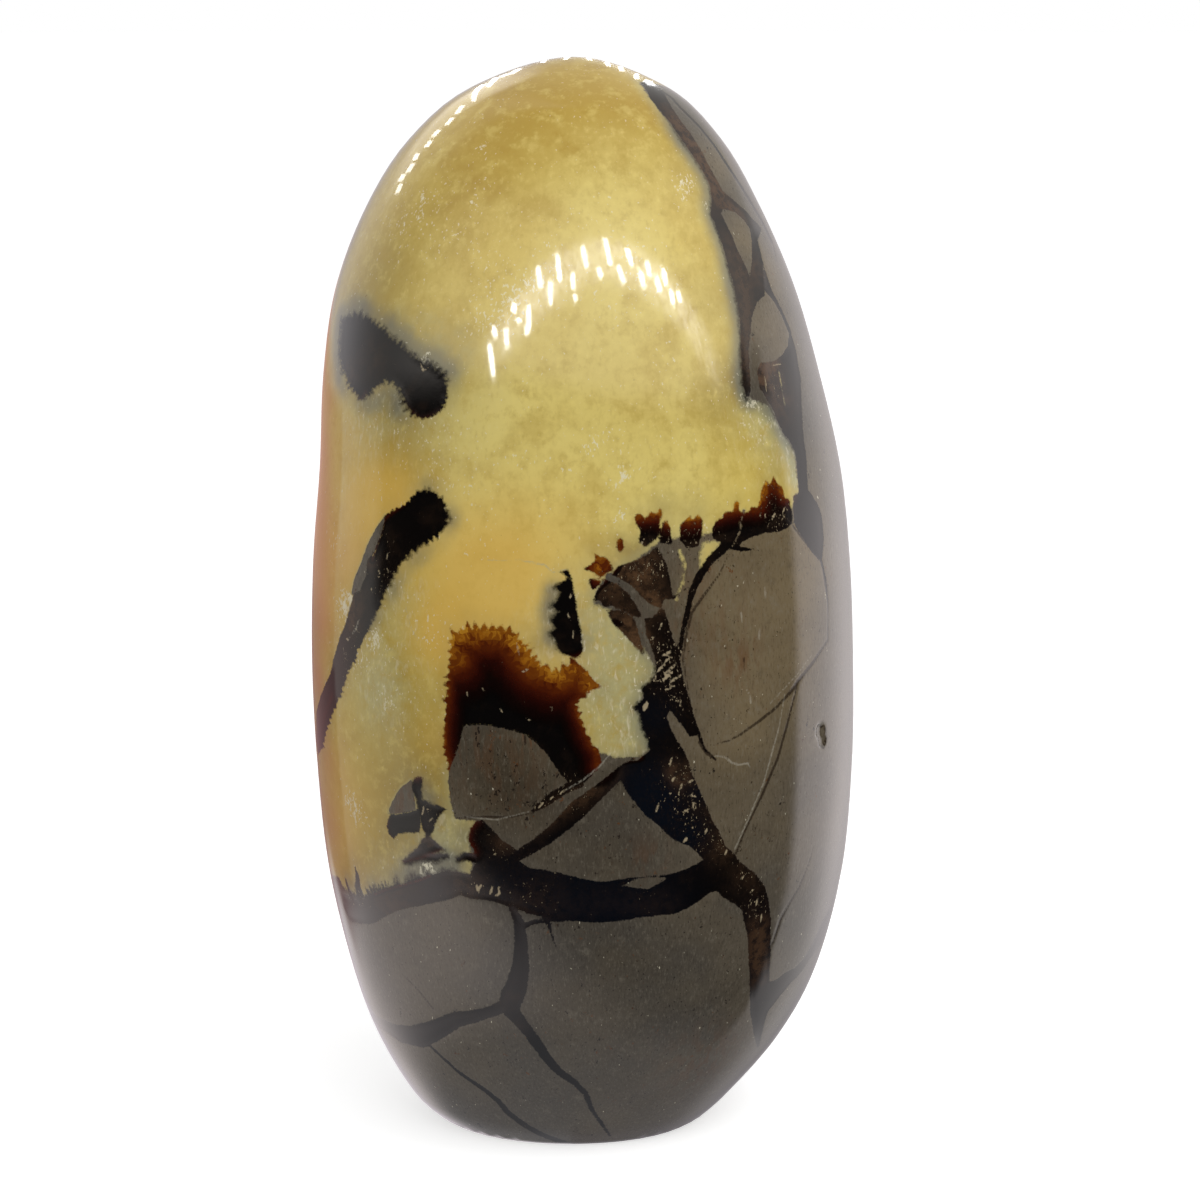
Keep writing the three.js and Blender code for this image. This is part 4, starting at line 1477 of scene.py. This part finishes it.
def mudstone_colour(nodes, place):
    """Grey-brown stone, cloudy and grainy, with rust and open pits."""
    warmth = nodes.spread("warm", nodes.noise(place, **MUD_CLOUDS), WARM_CLOUDS)
    colour = nodes.mix(warmth, MUD_COOL, MUD_WARM)
    colour = nodes.tinted(colour, nodes.noise(place, **MUD_BANDS), BAND_TINTS)
    colour = nodes.stained(colour, "shade", SHADE_SHARE, MUD_DARK)
    colour = nodes.tinted(colour, nodes.noise(place, **BLOTCHES), BLOTCH_TINTS)
    colour = nodes.tinted(colour, nodes.noise(place, **MUD_GRAIN), GRAIN_TINTS)
    streaks = nodes.step(nodes.noise(place, **RUST_STREAKS), *RUST_STEP)
    colour = nodes.mix(nodes.times(nodes.field("rust"), streaks), colour, RUST)
    pitted = nodes.step(nodes.noise(place, **PIT_REGIONS), *PIT_REGION_STEP)
    pitted = nodes.line(nodes.field("shade"), SHADE_PITTING, pitted)
    pits = nodes.step(nodes.minus(nodes.noise(place, **PIT_HOLES), pitted), 0.0, PIT_WALL)
    lining = nodes.mix(nodes.step(nodes.noise(place, **PIT_LININGS), *PIT_LINING_STEP), PIT, RUST)
    colour = nodes.mix(nodes.times(pits, PIT_SHARE), colour, lining)
    colour = nodes.tinted(colour, nodes.noise(place, **MUD_SPECKS), MUD_SPECK_TINTS)
    return nodes.tinted(colour, nodes.noise(place, **MUD_GLINTS), GLINT_TINTS)


def calcite_colour(nodes, place, dark, calcite):
    """Cloudy yellow crystal, paler at its edges, grey towards the veins and frosted in places, with a
    painted highlight as white frost round the arch of lamps and a painted pink reflection along the left
    side.
    """
    creaminess = nodes.spread("cream", nodes.noise(place, **CALCITE_CLOUDS), CREAM_CLOUDS)
    colour = nodes.mix(creaminess, GOLD, CREAM)
    depth_of_gold = nodes.spread("deep", nodes.noise(place, **WISPS), DEEP_WISPS)
    colour = nodes.mix(depth_of_gold, colour, DEEP_GOLD)
    colour = nodes.stained(colour, "dull", DULL_SHARE, OLIVE)
    curd = nodes.noise(place, **CURD)
    colour = nodes.mix(nodes.times(nodes.field("pale"), nodes.step(curd, *PALE_CURD)), colour, PALE)
    colour = nodes.tinted(colour, curd, CURD_TINTS)
    colour = nodes.tinted(colour, nodes.noise(place, **FIBRES), FIBRE_TINTS)
    colour = nodes.stained(colour, "orange", ORANGE_SHARE, ORANGE)
    # Painted reflection: the warm pink mirrored along the left side, laid into the colour.
    colour = nodes.stained(colour, "pink_reflection", PINK_REFLECTION_SHARE, PAINTED_PINK_REFLECTION)
    colour = nodes.tinted(colour, calcite, EDGE_TINTS)
    halo = nodes.field("halo")
    near = nodes.line(halo, HALO_NEARNESS, nodes.line(nodes.minus(curd, 0.5), HALO_FUZZ, dark))
    shine = nodes.times(nodes.step(near, *HALO_STEP), nodes.line(halo, *HALO_SHARES))
    colour = nodes.mix(shine, colour, HALO)
    white = nodes.times(nodes.field("pale"), nodes.step(nodes.noise(place, **NEEDLES), *NEEDLE_STEP))
    colour = nodes.mix(nodes.times(white, NEEDLE_SHARE), colour, WHITE_FLECK)
    # White frost. Round the arch of lamps it also paints the lamps' glare as a highlight.
    frost_and_glare = nodes.spread("frost_and_glare", nodes.noise(place, **FROST_PATCHES), FROST_SPREAD, clamp=False)
    threshold = nodes.line(frost_and_glare, *FROST_THRESHOLD)
    flakes = nodes.step(nodes.minus(nodes.noise(place, **FEATHERS), threshold), 0.0, FLAKE_EDGE)
    colour = nodes.mix(nodes.times(flakes, FLAKE_SHARE), colour, WHITE_FLECK)
    colour = nodes.tinted(colour, nodes.minus(nodes.noise(place, **SPARKS), threshold), SPARK_TINTS)
    return nodes.tinted(colour, nodes.noise(place, **CALCITE_SPECKS), CALCITE_SPECK_TINTS)


def amber_colour(nodes, place, rim):
    """Golden at the edge and black within, in rows of crystal points that point outwards."""
    rows = nodes.times(rim, AMBER_ROWS)
    row = nodes.math("FLOOR", rows)
    rise = nodes.minus(rows, row)
    shift = nodes.line(row, ROW_SHIFT, nodes.times(nodes.noise(place, **AMBER_SWAY), SWAY_SHARE))
    turn = nodes.plus(shift, nodes.math("DIVIDE", nodes.field("along"), AMBER_POINT))
    tooth = nodes.math("FLOOR", turn)
    away = nodes.math("ABSOLUTE", nodes.minus(nodes.minus(turn, tooth), 0.5))
    within = nodes.step(nodes.line(away, -2.0, rise), *POINT_EDGE)
    key = nodes.add("ShaderNodeCombineXYZ", {0: tooth, 1: row}).outputs[0]
    draw = nodes.add("ShaderNodeTexWhiteNoise", {"Vector": key}, noise_dimensions="3D").outputs[0]
    stepped = nodes.plus(nodes.plus(row, within), nodes.line(draw, *ROW_JITTER))
    shown = nodes.blend(nodes.step(rim, *POINTS_FADE), rows, stepped)
    tone = nodes.line(nodes.evenly(place, BLOTCHES), AMBER_RAGGEDNESS, shown)
    return nodes.ramp(nodes.math("DIVIDE", tone, AMBER_ROWS), AMBER_STOPS)


def vein_colour(nodes, place):
    """Brown-black crystal, smoky, bluish or amber in places, with small pale crystals in it."""
    tone = nodes.noise(place, **VEIN_TONES)
    brown = nodes.step(tone, *BROWN_STEP)
    brown = nodes.math("MULTIPLY_ADD", nodes.field("grains"), GRAIN_BROWN, brown, clamp=True)
    plain = nodes.mix(brown, VEIN_BLACK, VEIN_BROWN)
    mottle = nodes.step(nodes.noise(place, **VEIN_MOTTLE), *SMOKE_MOTTLE)
    plain = nodes.mix(nodes.times(nodes.field("smoke"), mottle), plain, SMOKE)
    plain = nodes.mix(nodes.field("blue"), plain, VEIN_BLUE)
    rim = nodes.field("rim")
    colour = nodes.mix(nodes.step(rim, *AMBER_ENDS), amber_colour(nodes, place, rim), plain)
    grains = nodes.spread("grains", tone, GRAIN_SPREAD)
    crumbs = nodes.noise(place, **VEIN_CRUMBS)
    bed = nodes.times(nodes.step(crumbs, *BED_STEP), nodes.times(grains, BED_SHARE))
    colour = nodes.mix(bed, colour, VEIN_BROWN)
    colour = nodes.tinted(colour, nodes.minus(crumbs, nodes.line(grains, *CRUMB_THRESHOLD)), CRYSTAL_TINTS)
    sliver = nodes.line(nodes.minus(crumbs, 0.5), SLIVER_FUZZ, nodes.field("sliver"))
    return nodes.tinted(colour, sliver, SLIVER_TINTS)


def make_stone_material():
    """The minerals' colours and shines, parted along the mesh's fields with a natural raggedness."""
    material = bpy.data.materials.new("septarian_stone")
    material.use_nodes = True
    material.node_tree.nodes.clear()
    nodes = Nodes(material.node_tree)
    place = nodes.scaled(nodes.add("ShaderNodeTexCoord").outputs["Object"], (1 / MM, 1 / MM, 1 / MM))
    calcite, dark, halo = nodes.field("calcite"), nodes.field("dark"), nodes.field("halo")

    fuzz = nodes.evenly(place, FUZZ)
    fine_fuzz = nodes.evenly(place, FINE_FUZZ)
    is_calcite = nodes.step(nodes.line(fuzz, CALCITE_FUZZ, calcite), *CALCITE_EDGE)
    chipped = nodes.line(nodes.evenly(place, CHIPS), VEIN_CHIPS, dark)
    ragged = nodes.line(fine_fuzz, VEIN_FINE_FUZZ, chipped)
    frayed = nodes.plus(nodes.times(fuzz, nodes.line(halo, *FRAYING)), ragged)
    is_dark_in_mud = nodes.step(ragged, *VEIN_EDGE_IN_MUD)
    is_dark_in_calcite = nodes.step(frayed, nodes.line(halo, *SOFTEST_EDGE), VEIN_WHOLE)
    is_dark = nodes.blend(is_calcite, is_dark_in_mud, is_dark_in_calcite)
    is_hair = nodes.step(nodes.line(fine_fuzz, HAIR_FUZZ, nodes.field("hair")), *HAIR_EDGE)
    is_scar = nodes.step(nodes.line(fine_fuzz, HAIR_FUZZ, nodes.field("scar")), *HAIR_EDGE, 0.0, SCAR_SHARE)

    mud = mudstone_colour(nodes, place)
    colour = nodes.mix(is_calcite, mud, calcite_colour(nodes, place, dark, calcite))
    colour = nodes.mix(nodes.times(is_hair, HAIR_SHARE), colour, VEIN_BROWN)
    colour = nodes.mix(is_dark, colour, vein_colour(nodes, place))
    colour = nodes.mix(is_scar, colour, SCAR)

    smear = nodes.noise(place, **SMEARS)
    mud_rough = nodes.step(smear, *SMEAR_STEP, *MUD_ROUGHNESS)
    calcite_rough = nodes.step(smear, *SMEAR_STEP, *CALCITE_ROUGHNESS)
    rough = nodes.blend(is_dark, nodes.blend(is_calcite, mud_rough, calcite_rough), VEIN_ROUGHNESS)
    scratches = nodes.times(nodes.noise(place, **SCRATCHES), is_calcite)
    height = nodes.line(scratches, SCRATCH_SHARE, nodes.noise(place, **UNEVENNESS))
    bump_inputs = {"Strength": BUMP_STRENGTH, "Distance": BUMP_HEIGHT, "Height": height}
    bump = nodes.add("ShaderNodeBump", bump_inputs)
    shine = {"Roughness": rough, "IOR": STONE_IOR, "Normal": bump.outputs[0]}
    coat = {"Coat Weight": HAZE, "Coat Roughness": HAZE_ROUGHNESS}
    shader = nodes.add("ShaderNodeBsdfPrincipled", {"Base Color": colour, **shine, **coat})
    nodes.add("ShaderNodeOutputMaterial", {"Surface": shader.outputs[0]})
    return material


# ---------------------------------------------------------------- the studio

WHITE = (1, 1, 1, 1)
FLOOR_RADIUS = 4.0  # metres
FLOOR_SIDES = 96
FLOOR_DEPTH = 0.0001  # metres below the stone
FLOOR_LOOK = {
    "Base Color": (0.9, 0.9, 0.9, 1),
    "Roughness": 0.9,
    "Specular IOR Level": 0,
    "Emission Color": WHITE,
    "Emission Strength": 0.62,  # keeps the floor near white away from the stone, where the lamps don't reach
}


def studio_mesh(name, corners, faces, shader_kind, inputs):
    """A mesh with a plain shader of its own."""
    material = bpy.data.materials.new(name)
    material.use_nodes = True
    material.node_tree.nodes.clear()
    nodes = Nodes(material.node_tree)
    shader = nodes.add(shader_kind, inputs)
    nodes.add("ShaderNodeOutputMaterial", {"Surface": shader.outputs[0]})
    mesh = bpy.data.meshes.new(name)
    mesh.from_pydata(corners, [], faces)
    mesh.materials.append(material)
    thing = bpy.data.objects.new(name, mesh)
    bpy.context.scene.collection.objects.link(thing)
    return thing


def make_floor():
    """A plain white disc under the stone."""
    turns = [2 * math.pi * i / FLOOR_SIDES for i in range(FLOOR_SIDES)]
    corners = [(FLOOR_RADIUS * math.cos(a), FLOOR_RADIUS * math.sin(a), -FLOOR_DEPTH) for a in turns]
    floor = studio_mesh("floor", corners, [list(range(FLOOR_SIDES))], "ShaderNodeBsdfPrincipled", FLOOR_LOOK)
    floor.visible_glossy = False
    floor.visible_diffuse = False


# Name, azimuth and elevation in degrees, power in watts. Azimuth 0 is the front and 90 the right.
AREA_LIGHTS = [("key", 10, 40, 2.4), ("side", 60, 60, 3.6)]
AREA_LIGHT_DISTANCE = 1.1  # metres
AREA_LIGHT_SIZE = 0.7


def add_area_light(name, azimuth, elevation, power):
    """A soft square light aimed at the stone's middle, which the polish doesn't mirror."""
    data = bpy.data.lights.new(name, "AREA")
    data.size = AREA_LIGHT_SIZE
    data.energy = power
    lamp = bpy.data.objects.new(name, data)
    bpy.context.scene.collection.objects.link(lamp)
    turn, rise = math.radians(azimuth), math.radians(elevation)
    towards = Vector((math.sin(turn) * math.cos(rise), -math.cos(turn) * math.cos(rise), math.sin(rise)))
    lamp.location = STONE_MIDDLE * MM + towards * AREA_LIGHT_DISTANCE
    lamp.rotation_euler = towards.to_track_quat("Z", "Y").to_euler()
    lamp.visible_glossy = False


FRONT_BROWN = (0.024, 0.018, 0.013, 1)
FRONT_BLUE = (0.008, 0.016, 0.03, 1)
FLOOR_GREY = (0.42, 0.41, 0.43, 1)
LEFT_GREY = (0.62, 0.58, 0.54, 1)
LEFT_HIGH = (1.05, 0.97, 0.94, 1)
LEFT_WARM = (0.7, 0.55, 0.52, 1)
LEFT_PINK = (0.65, 0.38, 0.33, 1)
LEFT_PINK_LOW = (0.38, 0.22, 0.22, 1)
LOW_LEFT = (1.28, 1.16, 1.14, 1)
LOW_FAR_LEFT = (0.93, 0.85, 0.9, 1)
RIGHT_BRIGHT = (1.7, 1.58, 1.58, 1)
RIGHT_MIDDLE = (1.1, 1.04, 1.02, 1)
RIGHT_LOW = (0.36, 0.35, 0.37, 1)
BACK_LEVEL = (0.68, 0.63, 0.63, 1)
BACK_LOW = (0.32, 0.3, 0.32, 1)
CEILING = (1.3, 1.2, 1.1, 1)
CEILING_TOP = (0.5, 0.49, 0.48, 1)
CEILING_LEFT = (0.6, 0.57, 0.54, 1)
CEILING_BESIDE = (1.0, 0.95, 0.97, 1)
CEILING_FAR_LEFT = (0.55, 0.53, 0.6, 1)
CEILING_RIGHT = (0.7, 0.67, 0.64, 1)
WINDOW = (1.8, 1.72, 1.66, 1)
GLARE = (7.0, 6.8, 6.7, 1)  # around the rows of lamps

# The studio as the polish mirrors it, by the rise above the level and the turn to the right, in degrees.
# A tint says where it begins, where it is whole, its share and its colour. A span says where a change begins
# and where it is whole, and may be followed by the values it changes between.
FRONT_BY_RISE = [(-24.0, -36.0, 1.0, FRONT_BLUE)]
FLOOR_STARTS = (-20.0, 60.0, -36.0, -42.0)  # a span of turns, and the floor's first rise at each end
FLOOR_SPREAD = 26.0

LEFT_SLANT_TOP = -8.0  # the left side's edge slants away below this rise
LEFT_SLANT = (2.1, -86.0)  # degrees of turn for a degree of rise, and the turn of its upright part
LEFT_BLUR = (-10.0, -50.0, 5.0, 40.0)  # the edge grows softer lower down, from 5 degrees to 40
WALL_BY_RISE = [(-2.0, -10.0, 1.0, LEFT_WARM)]
WALL_TURNS = (-92.0, -118.0)
PINK_TURNS = (-121.0, -124.0)
PINK_RISES = (-1.0, -6.0)
PINK_BY_RISE = [(-9.5, -12.5, 1.0, LEFT_PINK_LOW)]
LOW_LEFT_BY_TURN = [(-145.0, -165.0, 1.0, LOW_FAR_LEFT)]
LOW_LEFT_BY_RISE = [(-34.0, -56.0, 1.0, FLOOR_GREY)]
LOW_LEFT_STARTS = (-156.0, -142.0, -16.5, -22.0)
LOW_LEFT_SPREAD = 6.0

LEVEL_FROM_BELOW = (-32.0, -18.0)
LEVEL_FROM_ABOVE = (14.0, -15.0)
RIGHT_BY_RISE = [(-30.0, -60.0, 1.0, RIGHT_LOW)]
BACK_BY_RISE = [(-34.0, -12.0, 1.0, BACK_LEVEL)]
BACK_TURNS = (126.0, 168.0)
RIGHT_TURNS = (87.5, 95.5)

CEILING_BY_RISE = [(36.0, 56.0, 1.0, CEILING_TOP)]
CEILING_BY_TURN = [
    (-40.0, -85.0, 1.0, CEILING_LEFT),
    (-85.0, -122.0, 1.0, CEILING_BESIDE),
    (-130.0, -162.0, 1.0, CEILING_FAR_LEFT),
    (70.0, 115.0, 1.0, CEILING_RIGHT),
]
CEILING_EDGE_TURN = -24.0  # the ceiling's edge sinks to the left of this turn
CEILING_EDGE_REACH = 95.0  # and no further than this beyond it
CEILING_EDGE = (-0.2, 14.5)  # its rise for a degree of turn, and where it is level
CEILING_EDGE_RISES = (-1.6, 2.4)

WINDOW_SLANT = 0.55  # the window ends along a row of lamps
WINDOW_TURNS = (-117.0, -120.0)
WINDOW_FAR_TURNS = (-174.0, -162.0)
WINDOW_LOW_RISES = (15.0, 24.0)
WINDOW_HIGH_RISES = (48.0, 41.0)

ARCH_TURN = 17.0  # the middle of the arch of lamps
ARCH = (-0.0088, 33.5)  # its sag for a squared degree of turn, and its height
ARCH_RISES = (6.0, 1.0)  # from the arch
ARCH_TURNS = (50.0, 34.0)  # from its middle
GLARE_SCRATCHES = {"scale": 55.0, "detail": 3, "roughness": 0.75}
GLARE_SCRATCH_STEP = (0.4, 0.6, 0.1, 1.2)

SOFT_BELOW = (0.36, 0.36, 0.36, 1)  # what lights the stone from all around
SOFT_ABOVE = (0.46, 0.46, 0.46, 1)
SOFT_HEIGHTS = (-1.0, 0.6)


def left_of_studio(nodes, rise, turn):
    """The wall and the pinkish strip on the left, and the bright ground below them."""
    wall = nodes.tinted(LEFT_HIGH, rise, WALL_BY_RISE)
    left = nodes.mix(nodes.step(turn, *WALL_TURNS), LEFT_GREY, wall)
    pink = nodes.times(nodes.step(turn, *PINK_TURNS), nodes.step(rise, *PINK_RISES))
    left = nodes.mix(pink, left, nodes.tinted(LEFT_PINK, rise, PINK_BY_RISE))
    low_left = nodes.tinted(LOW_LEFT, turn, LOW_LEFT_BY_TURN)
    low_left = nodes.tinted(low_left, rise, LOW_LEFT_BY_RISE)
    starts = nodes.step(turn, *LOW_LEFT_STARTS)
    return nodes.mix(nodes.step(rise, starts, nodes.minus(starts, LOW_LEFT_SPREAD)), left, low_left)


def right_of_studio(nodes, rise, turn):
    """The bright wall on the right and what stands behind the stone."""
    level = nodes.times(nodes.step(rise, *LEVEL_FROM_BELOW), nodes.step(rise, *LEVEL_FROM_ABOVE))
    right = nodes.mix(level, nodes.tinted(RIGHT_MIDDLE, rise, RIGHT_BY_RISE), RIGHT_BRIGHT)
    back = nodes.tinted(BACK_LOW, rise, BACK_BY_RISE)
    return nodes.mix(nodes.step(turn, *BACK_TURNS), right, back)


def ceiling_of_studio(nodes, rise, turn, direction):
    """The ceiling, the window at the left and the scratched glare around the arch of lamps."""
    ceiling = nodes.tinted(CEILING, rise, CEILING_BY_RISE)
    ceiling = nodes.tinted(ceiling, turn, CEILING_BY_TURN)
    row_turn = nodes.line(rise, WINDOW_SLANT, turn)
    window = nodes.times(nodes.step(row_turn, *WINDOW_TURNS), nodes.step(rise, *WINDOW_LOW_RISES))
    window = nodes.times(window, nodes.step(turn, *WINDOW_FAR_TURNS))
    ceiling = nodes.mix(nodes.times(window, nodes.step(rise, *WINDOW_HIGH_RISES)), ceiling, WINDOW)
    aside = nodes.minus(turn, ARCH_TURN)
    arch = nodes.line(nodes.times(aside, aside), *ARCH)
    glare = nodes.step(nodes.math("ABSOLUTE", nodes.minus(rise, arch)), *ARCH_RISES)
    glare = nodes.times(glare, nodes.step(nodes.math("ABSOLUTE", aside), *ARCH_TURNS))
    scratches = nodes.step(nodes.noise(direction, **GLARE_SCRATCHES), *GLARE_SCRATCH_STEP)
    return nodes.mix(nodes.times(glare, scratches), ceiling, GLARE)


def studio_reflection(nodes, direction):
    """What the polished surface mirrors, by the direction in which it lies."""
    x, y, z = nodes.add("ShaderNodeSeparateXYZ", {0: direction}).outputs
    rise = nodes.math("DEGREES", nodes.math("ARCSINE", z))
    turn = nodes.math("DEGREES", nodes.math("ARCTAN2", x, nodes.times(y, -1.0)))

    front = nodes.tinted(FRONT_BROWN, rise, FRONT_BY_RISE)
    floor_starts = nodes.step(turn, *FLOOR_STARTS)
    floor_whole = nodes.minus(floor_starts, FLOOR_SPREAD)
    colour = nodes.mix(nodes.step(rise, floor_starts, floor_whole), front, FLOOR_GREY)

    below = nodes.math("MAXIMUM", nodes.minus(LEFT_SLANT_TOP, rise), 0.0)
    left_edge = nodes.line(below, *LEFT_SLANT)
    left_side = nodes.math("DIVIDE", nodes.minus(left_edge, turn), nodes.step(rise, *LEFT_BLUR))
    colour = nodes.mix(nodes.step(left_side, -1.0, 1.0), colour, left_of_studio(nodes, rise, turn))
    colour = nodes.mix(nodes.step(turn, *RIGHT_TURNS), colour, right_of_studio(nodes, rise, turn))

    left_turn = nodes.math("MAXIMUM", nodes.minus(CEILING_EDGE_TURN, turn), 0.0)
    left_turn = nodes.math("MINIMUM", left_turn, CEILING_EDGE_REACH)
    above = nodes.step(nodes.minus(rise, nodes.line(left_turn, *CEILING_EDGE)), *CEILING_EDGE_RISES)
    return nodes.mix(above, colour, ceiling_of_studio(nodes, rise, turn, direction))


def make_world():
    """White to the camera, a soft grey light to the floor and the colours, and the studio to the polish."""
    world = bpy.data.worlds.new("studio")
    world.use_nodes = True
    world.node_tree.nodes.clear()
    nodes = Nodes(world.node_tree)
    direction = nodes.add("ShaderNodeTexCoord").outputs["Generated"]
    path = nodes.add("ShaderNodeLightPath")
    height = nodes.add("ShaderNodeSeparateXYZ", {0: direction}).outputs[2]
    soft = nodes.mix(nodes.step(height, *SOFT_HEIGHTS), SOFT_BELOW, SOFT_ABOVE)
    colour = nodes.mix(path.outputs["Is Glossy Ray"], soft, studio_reflection(nodes, direction))
    colour = nodes.mix(path.outputs["Is Camera Ray"], colour, WHITE)
    background = nodes.add("ShaderNodeBackground", {0: colour})
    nodes.add("ShaderNodeOutputWorld", {"Surface": background.outputs[0]})
    bpy.context.scene.world = world


# The rows of narrow lamps that the top of the stone mirrors: each one's upper and lower end, in pixels.
ARCH_LAMPS = [
    ((489, 344), (493, 375)), ((493, 326), (495, 337)), ((505, 328), (507, 346)), ((513, 303), (514, 312)),
    ((528, 305), (529, 329)), ((538, 267), (540, 288)), ((550, 282), (551, 305)), ((557, 254), (560, 281)),
    ((573, 275), (574, 290)), ((583, 247), (587, 268)), ((599, 269), (602, 279)), ((605, 239), (611, 266)),
    ((619, 267), (624, 283)), ((627, 249), (632, 266)), ((640, 271), (644, 288)), ((647, 262), (650, 277)),
    ((656, 277), (660, 292)), ((663, 269), (666, 286)), ((671, 291), (673, 304)), ((678, 292), (680, 302)),
    ((526, 326), (527, 334)), ((575, 296), (576, 301)), ((518, 318), (519, 322)),
]
EDGE_LAMPS = [
    ((401, 184), (397, 193)), ((404, 174), (400, 181)), ((413, 163), (408, 172)), ((418, 153), (414, 160)),
    ((432, 139), (426, 147)), ((440, 129), (434, 135)), ((453, 117), (447, 124)), ((463, 105), (457, 113)),
    ((483, 85), (474, 101)), ((496, 78), (488, 87)), ((508, 74), (500, 77)), ((519, 69), (511, 74)),
    ((543, 59), (543, 62)), ((609, 61), (609, 66)), ((622, 66), (622, 71)), ((637, 74), (637, 79)),
    ((650, 81), (650, 85)), ((566, 56), (566, 59)), ((590, 57), (590, 60)),
]
LAMP_WIDTH = 4.2  # pixels
EDGE_LAMP_WIDTH = 4.6
LAMP_DISTANCE = 900  # mm
LAMP_STRENGTH = 34
EDGE_LAMP_STRENGTH = 8


def mirrored_place(x, y):
    """Where the thing stands that the stone mirrors at a pixel."""
    place = hit(x, y)
    level = level_of(np.array([place.z]))
    normal = Vector(smooth_normals(level, azimuth_of(np.array([place]), level))[0])
    ray = pixel_ray(x, y)
    return place + (ray - 2 * ray.dot(normal) * normal) * LAMP_DISTANCE


def make_lamps(name, ends, width, strength):
    """Glowing strips that only the polish mirrors, standing where they are seen between the given ends."""
    corners, faces = [], []
    for (x0, y0), (x1, y1) in ends:
        half = width / 2
        faces.append([len(corners) + i for i in range(4)])
        strip = [(x0 - half, y0), (x0 + half, y0), (x1 + half, y1), (x1 - half, y1)]
        corners += [mirrored_place(*corner) * MM for corner in strip]
    glow = {"Color": WHITE, "Strength": strength}
    lamps = studio_mesh(name, corners, faces, "ShaderNodeEmission", glow)
    lamps.visible_camera = False
    lamps.visible_diffuse = False
    lamps.visible_shadow = False


# ---------------------------------------------------------------- making it all

make_camera()
make_stone(make_stone_material())
make_floor()
make_world()
make_lamps("lamps", ARCH_LAMPS, LAMP_WIDTH, LAMP_STRENGTH)
make_lamps("edge_lamps", EDGE_LAMPS, EDGE_LAMP_WIDTH, EDGE_LAMP_STRENGTH)
for area_light in AREA_LIGHTS:
    add_area_light(*area_light)
bpy.context.scene.view_settings.view_transform = "Standard"
